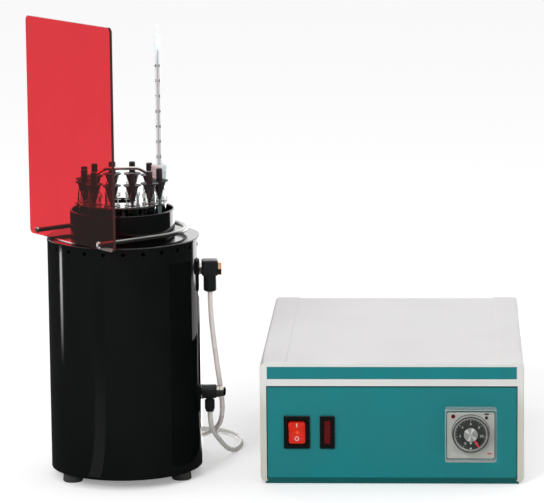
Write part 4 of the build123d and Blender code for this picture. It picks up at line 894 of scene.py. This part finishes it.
@dataclass(frozen=True)
class Hoses:
    """Both cooling hoses; routes are millimetres about the tower's axis."""

    upper: CoolingHose = CoolingHose(
        "upper_cooling_hose",
        "hose_rose",
        ("upper_hose", "upper_hose_coil"),
        (
            (86.2, 0.0, 194.0), (86.2, 0.0, 167.0), (89.2, 2.6, 135.0), (93.4, 5.8, 101.0),
            (97.6, 13.5, 70.0), (97.2, 27.0, 46.5), (90.5, 48.0, 31.0), (83.0, 74.0, 21.0),
            (72.0, 95.0, 13.0), (54.0, 105.0, 6.0), (34.0, 103.0, 2.6), (12.0, 100.0, 2.6),
        ),
        Coil((0.0, 130.0)),
        1.334,
    )
    lower: CoolingHose = CoolingHose(
        "lower_cooling_hose",
        "hose_grey",
        ("lower_hose", "lower_hose_coil"),
        (
            (84.4, 0.0, 69.0), (84.4, 0.0, 49.5), (89.0, 14.0, 35.5), (96.0, 34.0, 22.0), (103.5, 53.0, 9.5),
            (111.0, 74.0, 2.6), (118.0, 95.0, 2.6), (119.5, 120.0, 2.6), (113.0, 147.0, 2.6),
            (98.0, 166.0, 2.6), (76.0, 175.5, 2.6), (52.0, 182.0, 2.6), (32.0, 185.0, 2.6),
        ),
        Coil((20.0, 215.0)),
        1.316,
    )

    def build(self, wardrobe: Wardrobe) -> None:
        """Makes both hoses."""
        axis = middle_of("tower_lid")
        self.upper.build(wardrobe, axis)
        self.lower.build(wardrobe, axis)


# Tower


class Tower:
    """The tower with its rack, shield and fittings."""

    FINISHES = {
        "gloss_black": ("tower_housing", "tower_lid", "collar"),
        "dark_enamel": ("base_plate",),
        "rubber": ("tower_feet",),
        "steel": ("cooling_jacket", "rack_plate", "rack_frame"),
        "rod_steel": ("shield_rod",),
        "polished": ("upper_nipple", "lower_dome_nut", "rack_handle", "shield_screws"),
        "brass": ("upper_screw",),
        "ceramic": ("lamp_socket",),
        "plastic": ("lamp_inlet", "fan_frame", "fan_rotor", "upper_elbow", "lower_fitting", "lower_hose_nut"),
        "quartz": ("sample_tubes", "uv_lamp"),
        "stem_glass": ("thermometer",),
        "bush": ("thermometer_bush",),
        "acrylic": ("shield_plate",),
        "stopper": tuple(f"stopper_{index:02d}" for index in range(1, 12)),
    }

    def build(self, wardrobe: Wardrobe) -> None:
        """Dresses the tower's solids."""
        wardrobe.dress_all(self.FINISHES)


@dataclass(frozen=True)
class ThermometerMarks:
    """Column, white back and scale of the thermometer."""

    column_r: float = 0.00024
    column_low: float = 0.200
    column_high: float = 0.430
    back_r: float = 0.0021
    back_half_turn: float = math.radians(52.0)
    scale_low: float = 0.3215
    scale_step: float = 0.0153
    scale_count: int = 7
    first_number: int = 2
    digit_height: float = 0.0036
    digit_bold: float = 0.00012
    digit_off: float = 0.0018
    tick: tuple[float, float] = (0.0006, 0.0001)
    back_thick: float = 0.00025
    back_low: float = 0.206
    back_short: float = 0.0165
    long_tick: float = 1.6
    digit_lift: float = 0.1

    def build(self, wardrobe: Wardrobe) -> None:
        """Makes the pieces on and in the stem."""
        low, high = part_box("thermometer")
        axis = (low + high) / 2
        radius = (high.x - low.x) / 2
        for name, mesh, finish in (
            ("thermometer_column", self._column(axis), "column_grey"),
            ("thermometer_back", self._back(axis, high.z), "back_white"),
            ("thermometer_ticks", self._ticks(axis, radius), "print_dark"),
            ("thermometer_numbers", self._numbers(axis, radius), "print_dark"),
        ):
            wardrobe.add(name, mesh, finish, "thermometer", "thermometer_glass")

    def _column(self, axis: Vector) -> bpy.types.Mesh:
        """Thin column of liquid, a turned rod."""
        r, low, high = self.column_r, self.column_low, self.column_high
        profile = [(0.0, low), (r, low + r), (r, high - r), (0.0, high)]
        return turned_mesh("thermometer_column", profile, (axis.x, axis.y, 0.0), Axis.UP, 12)

    def _back(self, axis: Vector, top: float) -> bpy.types.Mesh:
        """White strip behind the column: part of a circle about the axis, drawn up the stem."""
        turn = np.linspace(-self.back_half_turn, self.back_half_turn, 9) + math.pi / 2
        arc = np.column_stack([np.cos(turn), np.sin(turn)])
        ring = np.concatenate([self.back_r * arc, (self.back_r - self.back_thick) * arc[::-1]])
        points = np.zeros((2, len(ring), 3))
        points[:, :, :2] = ring[None] + np.array([axis.x, axis.y])
        points[:, :, 2] = [[self.back_low], [top - self.back_short]]
        return grid_mesh("thermometer_back", points)

    def _ticks(self, axis: Vector, radius: float) -> bpy.types.Mesh:
        """Ticks on the front of the stem, with a longer one at each number."""
        count = self.scale_count * 10 - 9
        places = np.tile(np.eye(4), (count, 1, 1))
        places[:, 0, 3] = axis.x
        places[:, 1, 3] = axis.y - radius
        places[:, 2, 3] = self.scale_low + np.arange(count) * self.scale_step / 10
        sizes = np.tile([self.tick[0], PRINT_THICK, self.tick[1]], (count, 1))
        sizes[::10, 0] *= self.long_tick
        return bars_mesh("thermometer_ticks", places, sizes)

    def _numbers(self, axis: Vector, radius: float) -> bpy.types.Mesh:
        """Numbers on the front of the stem, each digit on its own side of the column."""
        out = axis.y - math.sqrt(radius ** 2 - self.digit_off ** 2)
        digits = []
        for index in range(self.scale_count):
            height = self.scale_low + index * self.scale_step + self.digit_height * self.digit_lift
            for text, side in ((f"{(self.first_number + index) % 10}", -1), ("0", 1)):
                digit = lettering(text, self.digit_height, PRINT_THICK, self.digit_bold)
                digits.append((digit, in_front(axis.x + side * self.digit_off, height, out)))
        return joined("thermometer_numbers", digits)


# Control unit


class ControlUnit:
    """The control unit's casing, switch and signal lamp."""

    FINISHES = {
        "rubber": ("control_feet",),
        "pale_enamel": ("top_cover", "control_tray"),
        "warm_enamel": ("front_frame",),
        "strip": ("title_strip",),
        "steel": ("case_screws",),
        "bezel": ("rocker_bezel", "signal_bezel"),
        "plastic": ("mains_inlet", "lamp_outlet"),
        "lens": ("signal_lens",),
        "dark_enamel": ("ballast",),
        "case_grey": ("timer_case",),
        "silver": ("timer_face",),
        "disc": ("timer_disc",),
        "cover": ("timer_cover",),
    }

    LIP_HEIGHT = 0.0062
    LIP_OVERHANG = 0.0015
    SIDE_GAP = 0.0008
    TOP_GAP = 0.0014
    SEAL_BACK = 0.0004
    SEAL_DEPTH = 0.0006
    LIP_TONE = (0.0015, 0.100, 0.101)
    LIP_EDGE = 0.0003

    def build(self, wardrobe: Wardrobe) -> None:
        """Dresses the control unit's solids, with painted shade on the panel's lip, and makes the dark strips
        of painted shade in the panel's gap.
        """
        wardrobe.dress_all(self.FINISHES)
        low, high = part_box("front_panel")
        fold = low.z + self.LIP_HEIGHT
        bounds = (fold - self.LIP_EDGE, fold + self.LIP_EDGE)
        # Painted shade: a darker teal on the panel's lower lip, below the fold, where the overhang shades it.
        teal = replace(wardrobe.palette.teal, low_tone=self.LIP_TONE, low_bounds=bounds)
        wardrobe.dress(teal, ("front_panel",))
        self._seal(wardrobe, low, high)

    def _seal(self, wardrobe: Wardrobe, low: Vector, high: Vector) -> None:
        """Dark strips of painted shade in the gap at the panel's top and sides, a little behind its face."""
        left, right = low.x + self.LIP_OVERHANG, high.x - self.LIP_OVERHANG
        bottom = low.z + self.LIP_HEIGHT
        side = (self.SIDE_GAP, self.SEAL_DEPTH, high.z - bottom)
        sizes = np.array([side, side, (right - left, self.SEAL_DEPTH, self.TOP_GAP)])
        places = np.tile(np.eye(4), (3, 1, 1))
        places[:, 1, 3] = low.y + self.SEAL_BACK + self.SEAL_DEPTH / 2
        places[:, 0, 3] = left + self.SIDE_GAP / 2, right - self.SIDE_GAP / 2, (left + right) / 2
        places[:, 2, 3] = (bottom + high.z) / 2, (bottom + high.z) / 2, high.z + self.TOP_GAP / 2
        wardrobe.add("panel_gap_shade", bars_mesh("panel_gap_shade", places, sizes), "seal", "root", "dial_black")


@dataclass(frozen=True)
class RockerMarks:
    """The rocker's red plastic with its painted glow, and its I and O, drawn on its two tilted faces."""

    tilt: float = math.radians(9.0)
    slope: float = math.atan2(2.1, 11.3)
    middle_out: float = 0.0029
    bar_up: float = 0.0082
    bar: tuple[float, float] = (0.0008, 0.0045)
    ring_down: float = 0.0063
    ring_r: float = 0.0019
    stroke: float = 0.00032
    proud: float = 0.00012
    spot_off: float = 0.0005

    def build(self, wardrobe: Wardrobe) -> None:
        """Dresses the rocker and makes its marks."""
        joint = next(joint for joint in frame["joints"] if joint["name"] == "rocker_press")
        pivot = Vector(joint["pos_m"])
        key = Matrix.Translation(pivot) @ Matrix.Rotation(self.tilt, 4, "X")
        spot = key @ Vector((self.spot_off, -self.middle_out, 0.0))
        # Painted glow: emission round a spot in the rocker's middle.
        red = GlowingFinish(
            "switch_red", (0.74, 0.021, 0.008), (0.68, 0.018, 0.007), 0.28, 0.05, 200.0, soft=0.15,
            glow=(0.22, 0.10, 0.012), spot=tuple(spot), reach=0.0026,
        )
        wardrobe.dress(red, ("rocker",))
        bar = bars_mesh("rocker_bar", np.eye(4)[None], np.array([[*self.bar, self.proud * 2]]))
        mesh = joined("rocker_marks", [
            (bar, key @ self._on_face(self.bar_up, 1)),
            (self._ring(), key @ self._on_face(self.ring_down, -1)),
        ])
        wardrobe.add("rocker_marks", mesh, "print_white", "rocker", "switch_red")

    def _on_face(self, away: float, side: int) -> Matrix:
        """Matrix onto one of the two faces, which fall back from the tips to the middle."""
        depth = -self.middle_out - away * math.tan(self.slope)
        face = Matrix.Rotation(math.pi / 2 + side * self.slope, 4, "X")
        return Matrix.Translation((0.0, depth, side * away)) @ face

    def _ring(self) -> bpy.types.Mesh:
        """Ring of the O, drawn in the XY plane."""
        radii = (self.ring_r - self.stroke, self.ring_r + self.stroke)
        return ring_mesh("rocker_ring", radii, (0.0, 0.0, 0.0), (-self.proud, self.proud), Axis.UP, 32)


@dataclass(frozen=True)
class TimerFront:
    """Everything printed or set in the timer's face: dial, numbers, ticks, pointer, lamp and selector."""

    dial_thick: float = 0.00015
    dial_r: float = 0.0163
    number_r: float = 0.0107
    number_height: float = 0.0038
    tick_r: tuple[float, float] = (0.0131, 0.0150)
    small_tick_r: tuple[float, float] = (0.0142, 0.0150)
    rim_r: tuple[float, float] = (0.0155, 0.0163)
    cup_ring: tuple[float, float] = (0.0171, 0.0181)
    ring_thick: float = 0.0001
    dots: tuple[tuple[float, float], ...] = ((0.0089, 0.0010), (0.0143, 0.0010))
    tick_width: float = 0.00035
    first_angle: float = -150.0
    span: float = 300.0
    top_value: int = 12
    pointer: tuple[float, float, float] = (0.0072, 0.0150, 0.0019)
    pointer_angle: float = math.radians(147.0)
    lamp_at: tuple[float, float] = (-0.01735, 0.0194)
    lamp_r: float = 0.0021
    window_at: tuple[float, float] = (0.0158, 0.0216)
    window: tuple[float, float] = (0.0044, 0.0017)
    selector_at: tuple[float, float] = (0.0156, 0.0180)
    selector_r: float = 0.0017
    bar_at: tuple[float, float] = (0.0187, -0.0186)
    bar: tuple[float, float] = (0.0042, 0.0013)
    plate: tuple[float, float, float] = (0.0002, 0.00012, 0.00003)
    pointer_thick: float = 0.0006
    pointer_round: float = 0.0002

    def build(self, wardrobe: Wardrobe) -> None:
        """Makes the timer's small pieces."""
        centre = middle_of("timer_disc")
        # Painted highlight: two bright lines painted across the knob's face.
        spun = SpunFinish(
            "turned_metal", (0.56, 0.56, 0.54), (0.50, 0.50, 0.48), 0.35, 0.05, 900.0, metal=0.6,
            bump=0.000003, middle=tuple(middle_of("timer_knob")),
        )
        wardrobe.dress(spun, ("timer_knob",))
        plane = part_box("timer_disc")[0].y
        self._dial(wardrobe, centre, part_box("timer_case")[0].y)
        # Painted shade: a dark ring on the clear cup's front, where the gap round the cup falls dark.
        ring = ring_mesh("disc_shade_ring", self.cup_ring, (centre.x, plane, centre.z), (0.0, self.ring_thick))
        wardrobe.add("disc_shade_ring", ring, "print_dark", "timer_dial", "dial_black")
        self._pointer(wardrobe, centre, plane)
        self._small_pieces(wardrobe, middle_of("timer_face"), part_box("timer_face")[0].y)

    def _angle(self, value: float) -> float:
        """Clockwise angle from the top of a value on the dial."""
        return math.radians(self.first_angle + self.span * value / self.top_value)

    def _flat(self, name: str, radius: float, centre: Point, steps: int) -> bpy.types.Mesh:
        """Flat round plate on a front plane."""
        profile = [(0.0, 0.0), (radius, 0.0), (radius, self.dial_thick), (0.0, self.dial_thick)]
        return turned_mesh(name, profile, centre, Axis.OUT_OF_FRONT, steps)

    def _dial(self, wardrobe: Wardrobe, centre: Vector, plane: float) -> None:
        """Dark dial with its numbers and ticks."""
        mesh = self._flat("dial_plate", self.dial_r, (centre.x, plane, centre.z), 72)
        wardrobe.add("dial_plate", mesh, "dial", "root", "dial_black")
        top = plane - self.dial_thick
        parts = []
        for value in range(0, self.top_value + 1, 2):
            angle = self._angle(value)
            x = centre.x + self.number_r * math.sin(angle)
            z = centre.z + self.number_r * math.cos(angle)
            parts.append((lettering(str(value), self.number_height, PRINT_THICK), in_front(x, z, top)))
        wardrobe.add("dial_numbers", joined("dial_numbers", parts), "print_white", "root", "dial_black")
        self._rim(wardrobe, centre, top)
        places, sizes = [], []
        for value in np.arange(0.0, self.top_value + 0.25, 0.5):
            low, high = self.tick_r if value % 2 == 0 else self.small_tick_r
            turn = in_front(centre.x, centre.z, top, self._angle(value))
            places.append(turn @ Matrix.Translation((0.0, (low + high) / 2, 0.0)))
            sizes.append((self.tick_width, high - low, PRINT_THICK))
        mesh = bars_mesh("dial_ticks", np.array(places), np.array(sizes))
        wardrobe.add("dial_ticks", mesh, "print_white", "root", "dial_black")

    def _rim(self, wardrobe: Wardrobe, centre: Vector, plane: float) -> None:
        """Pale ring at the dial's edge and the two dots between the last number and the first."""
        mesh = ring_mesh("dial_rim", self.rim_r, (centre.x, plane, centre.z), (0.0, self.dial_thick))
        wardrobe.add("dial_rim", mesh, "silver", "root", "timer_silver")
        for index, (away, half) in enumerate(self.dots, 1):
            name = f"dial_dot_{index}"
            mesh = self._flat(name, half, (centre.x, plane, centre.z - away), 16)
            wardrobe.add(name, mesh, "print_white", "root", "dial_black")

    def _pointer(self, wardrobe: Wardrobe, centre: Vector, plane: float) -> None:
        """Red pointer on the clear disc."""
        near, far, width = self.pointer
        middle = Matrix.Translation((0, (near + far) / 2, 0))
        place = in_front(centre.x, centre.z, plane, self.pointer_angle) @ middle
        size = np.array([[width, far - near, self.pointer_thick]])
        mesh = bars_mesh("dial_pointer", np.array(place)[None], size)
        piece = wardrobe.add("dial_pointer", mesh, "print_red", "timer_dial", "switch_red")
        bevel = piece.modifiers.new("round", "BEVEL")
        bevel.width = self.pointer_round
        bevel.segments = 2

    def _small_pieces(self, wardrobe: Wardrobe, centre: Vector, plane: float) -> None:
        """Signal lamp, window, selector and red bar around the dial: two turned ones and two plates."""
        lamp, head = self.lamp_r, self.selector_r
        dome = [(0.0, 0.0), (lamp, 0.0), (lamp, 0.0002), (lamp * 0.7, 0.0005), (0.0, 0.0006)]
        button = [(0.0, 0.0), (head, 0.0), (head, 0.0004), (head * 0.8, 0.0005), (0.0, 0.0005)]
        corner, depth, edge = self.plate
        for name, (across, up), shape, finish, slot in (
            ("timer_lamp", self.lamp_at, dome, "lens", "lens_red"),
            ("timer_window", self.window_at, self.window, "print_dark", "dial_black"),
            ("timer_selector", self.selector_at, button, "print_dark", "dial_black"),
            ("timer_bar", self.bar_at, self.bar, "print_red", "switch_red"),
        ):
            at = (centre.x + across, plane, centre.z + up)
            if isinstance(shape, list):
                mesh = turned_mesh(name, shape, at, Axis.OUT_OF_FRONT, 24)
            else:
                mesh = front_plate(name, shape, corner, depth, at, edge)
            wardrobe.add(name, mesh, finish, "root", slot)


# Studio


@dataclass(frozen=True)
class Studio:
    """Camera, lamps, background and floor.

    The light card is a bearing in degrees, a reach, a half width and a height. The bench strip is a bearing,
    a half width for each metre of reach, and the reach of its two ends. A dark card is a name, where it
    starts and ends along Y, and a height.
    """

    eye: Point = (0.1705, -3.4765, 0.8526)
    yaw: float = 0.05124
    pitch: float = 0.18257
    roll: float = -0.01016
    lens: float = 227.65
    sensor: float = 36.0
    ambient: float = 0.70
    front: float = 0.05
    behind: float = 1.7
    floor_half: float = 6.0
    floor_tone: float = 0.95
    floor_lift: float = 0.27
    mirrored_floor: float = 10.0
    back_bounds: tuple[float, float] = (0.3, 0.9)
    above_bounds: tuple[float, float] = (0.35, 0.85)
    floor_slant: tuple[float, float] = (-0.67, 0.74)
    slant_bounds: tuple[float, float] = (0.03, 0.09)
    left_bounds: tuple[float, float] = (-0.14, -0.06)
    lamp_aim: Point = (0.0, 0.0, 0.15)
    light_card: tuple[float, float, float, float] = (99.0, 0.58, 0.028, 0.14)
    bench_strip: tuple[float, float, float, float] = (31.0, 0.13, 0.12, 1.2)
    strip_lift: float = 0.001
    dark_gap: float = 0.004
    dark_cards: tuple[tuple[str, float, float, float], ...] = (
        ("low_dark_card", -0.17, 0.23, 0.125), ("high_dark_card", -0.17, -0.072, 0.21),
    )

    def build(self) -> None:
        """Makes the studio."""
        scene = bpy.context.scene
        scene.view_settings.view_transform = "Standard"
        self._camera(scene)
        self._world(scene)
        self._floor()
        self._cards()
        self._lamps()

    def _camera(self, scene: bpy.types.Scene) -> None:
        """Camera at the photograph's viewing angle."""
        forward = Vector((-math.sin(self.yaw), math.cos(self.yaw), 0.0))
        right = Vector((math.cos(self.yaw), math.sin(self.yaw), 0.0))
        up = Vector((0.0, 0.0, 1.0))
        look = forward * math.cos(self.pitch) - up * math.sin(self.pitch)
        top = up * math.cos(self.pitch) + forward * math.sin(self.pitch)
        side = right * math.cos(self.roll) + top * math.sin(self.roll)
        top = top * math.cos(self.roll) - right * math.sin(self.roll)
        data = bpy.data.cameras.new("camera")
        data.lens = self.lens
        data.sensor_width = self.sensor
        data.clip_end = 50.0
        camera = bpy.data.objects.new("camera", data)
        turn = Matrix((side, top, -look)).transposed().to_4x4()
        camera.matrix_world = Matrix.Translation(self.eye) @ turn
        scene.collection.objects.link(camera)
        scene.camera = camera

    def _world(self, scene: bpy.types.Scene) -> None:
        """Even light, a white background, and a dark room in front for mirrored rays."""
        world = bpy.data.worlds.new("studio")
        world.use_nodes = True
        scene.world = world
        graph = Graph(world.node_tree)
        rays = graph.add("ShaderNodeLightPath")
        way = graph.place("Generated")
        back = graph.step(graph.part(way, "Y"), *self.back_bounds, 0.0, self.behind)
        above = graph.step(graph.part(way, "Z"), *self.above_bounds)
        mirrored = graph.math("MAXIMUM", graph.math("MAXIMUM", back, above), self.front)
        seen, glossy = self._paths(graph, rays)
        level = graph.blend(seen, graph.blend(glossy, self.ambient, mirrored), 1.0)
        light = graph.add("ShaderNodeBackground", {"Strength": level})
        light.inputs["Color"].default_value = (1.0, 1.0, 1.0, 1.0)
        graph.add("ShaderNodeOutputWorld", {"Surface": light.outputs[0]})

    @staticmethod
    def _paths(graph: Graph, rays: bpy.types.Node) -> tuple[Socket, Socket]:
        """Whether the camera looks at a surface, straight or through clear pieces, and whether a mirror does.

        A ray through a clear piece counts as glossy too, so what is seen is taken off, and so are the rays
        that a matt surface sends out.
        """
        scattered = graph.math("MINIMUM", rays.outputs[Ray.SCATTERED.value], 1.0)
        turned = graph.math("MINIMUM", graph.math("ADD", rays.outputs[Ray.MIRRORED.value], scattered), 1.0)
        clear = graph.math("SUBTRACT", 1.0, turned)
        through = graph.math("MULTIPLY", rays.outputs[Ray.TRANSMISSION.value], clear)
        seen = graph.math("MAXIMUM", rays.outputs[Ray.CAMERA.value], through)
        direct = graph.math("SUBTRACT", 1.0, scattered)
        straight = graph.math("MULTIPLY", rays.outputs[Ray.GLOSSY.value], direct)
        return seen, graph.math("MAXIMUM", graph.math("SUBTRACT", straight, seen), 0.0)

    @staticmethod
    def _sheet(name: str, points: np.ndarray) -> tuple[bpy.types.Object, Graph]:
        """Makes a sheet of the studio.

        Args:
            name: Its name, and its material's.
            points: The grid of its points.

        Returns:
            The sheet, and the graph of its material, still empty.
        """
        mesh = grid_mesh(name, points, wrap=False, ends=False)
        sheet = bpy.data.objects.new(name, mesh)
        bpy.context.scene.collection.objects.link(sheet)
        material, graph = new_material(name)
        mesh.materials.append(material)
        return sheet, graph

    def _floor(self) -> None:
        """White floor that keeps the object's shadow; mirrored rays find it bright only behind the tower."""
        side = np.linspace(-self.floor_half, self.floor_half, 5)
        x, y = np.meshgrid(side, side)
        _, graph = self._sheet("floor", np.stack([x, y, np.zeros_like(x)], axis=-1))
        rays = graph.add("ShaderNodeLightPath")
        across, deep = (graph.part(graph.place(), name) for name in "XY")
        slants = [graph.math("MULTIPLY", *pair) for pair in zip((across, deep), self.floor_slant)]
        right = graph.step(graph.math("ADD", *slants), *self.slant_bounds)
        mirrored = graph.math("MULTIPLY", right, graph.step(across, *self.left_bounds))
        bright = graph.math("MULTIPLY", mirrored, self.mirrored_floor)
        seen, glossy = self._paths(graph, rays)
        lift = graph.blend(glossy, seen, bright)
        tone = graph.mix(graph.blend(glossy, 1.0, mirrored), (self.front,) * 3, (self.floor_tone,) * 3)
        diffuse = graph.add("ShaderNodeBsdfDiffuse", {"Color": tone})
        glow = graph.add("ShaderNodeEmission", {"Strength": graph.math("MULTIPLY", lift, self.floor_lift)})
        both = graph.add("ShaderNodeAddShader", {0: diffuse.outputs[0], 1: glow.outputs[0]})
        graph.add("ShaderNodeOutputMaterial", {"Surface": both.outputs[0]})

    def _cards(self) -> None:
        """Cards around the tower that only mirrored rays meet.

        A bright one to the left and behind gives the thin light line, two dark ones keep the control unit's
        side out of the casing, and a dim strip on the bench to the left in front gives the faint band.
        """
        axis = middle_of("tower_lid")
        foot = Vector((axis.x, axis.y, 0.0))
        bearing, reach, half, top = self.light_card
        away, across = self._bearing(bearing)
        middle = foot + away * reach
        rows = [[middle + across * side + Vector((0, 0, z)) for side in (-half, half)] for z in (0.0, top)]
        self._card("light_card", rows, "Z", (0.0, 0.13), (0.0, 6.0))
        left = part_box("top_cover")[0].x - self.dark_gap
        for name, near, far, top in self.dark_cards:
            rows = [[Vector((left, y, z)) for y in (near, far)] for z in (0.0, top)]
            self._card(name, rows, "Z", (0.0, 1.0), (0.0, 0.0))
        bearing, spread, near, far = self.bench_strip
        away, across = self._bearing(bearing)
        base = foot + Vector((0, 0, self.strip_lift))
        rows = [[base + away * reach + across * side * reach for side in (-spread, spread)]
                for reach in (near, far)]
        self._card("bench_strip", rows, "Y", (axis.y - 0.7, axis.y - 0.1), (0.03, 0.25))

    @staticmethod
    def _bearing(degrees: float) -> tuple[Vector, Vector]:
        """Level directions away from and across a bearing, counted from the front to the left."""
        bearing = math.radians(degrees)
        away = Vector((-math.sin(bearing), -math.cos(bearing), 0.0))
        return away, Vector((-away.y, away.x, 0.0))

    def _card(
        self, name: str, rows: list[list[Vector]], along: str, bounds: tuple[float, float],
        light: tuple[float, float],
    ) -> None:
        """Makes one card.

        Args:
            name: Its name.
            rows: Its corners, two by two.
            along: The coordinate that its light follows.
            bounds: Where along it the light starts and ends to change.
            light: The light at these two places.
        """
        card, graph = self._sheet(name, np.array(rows))
        card.visible_camera = card.visible_diffuse = card.visible_transmission = card.visible_shadow = False
        strength = graph.step(graph.part(graph.place(), along), *bounds, *light)
        glow = graph.add("ShaderNodeEmission", {"Strength": strength})
        graph.add("ShaderNodeOutputMaterial", {"Surface": glow.outputs[0]})

    def _lamps(self) -> None:
        """Large soft lamps: one above to the left in front, one above behind."""
        for name, place, size, power in (
            ("key_lamp", (-1.0, -2.3, 1.3), 0.9, 30.0),
            ("top_lamp", (0.2, 0.9, 2.0), 1.4, 2.0),
        ):
            data = bpy.data.lights.new(name, "AREA")
            data.size = size
            data.energy = power
            lamp = bpy.data.objects.new(name, data)
            lamp.location = place
            lamp.rotation_mode = "QUATERNION"
            lamp.rotation_quaternion = (Vector(self.lamp_aim) - lamp.location).to_track_quat("-Z", "Y")
            lamp.visible_glossy = False
            bpy.context.scene.collection.objects.link(lamp)


def clear_leftovers() -> None:
    """Removes what Blender's own start file holds."""
    for name in ("Cube", "Light", "Camera"):
        leftover = bpy.data.objects.get(name)
        if leftover:
            bpy.data.objects.remove(leftover)


def corners(box: tuple[Vector, Vector]) -> list[list[float]]:
    """A box's two corners as plain lists."""
    return [list(corner) for corner in box]


def main() -> None:
    """Builds the looks in order."""
    logging.basicConfig(level=logging.INFO, format="%(name)s: %(message)s")
    clear_leftovers()
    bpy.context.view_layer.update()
    wardrobe = Wardrobe(Palette())
    Studio().build()
    Hoses().build(wardrobe)
    Tower().build(wardrobe)
    ThermometerMarks().build(wardrobe)
    ControlUnit().build(wardrobe)
    RockerMarks().build(wardrobe)
    TimerFront().build(wardrobe)


if __name__ == "__main__":
    main()
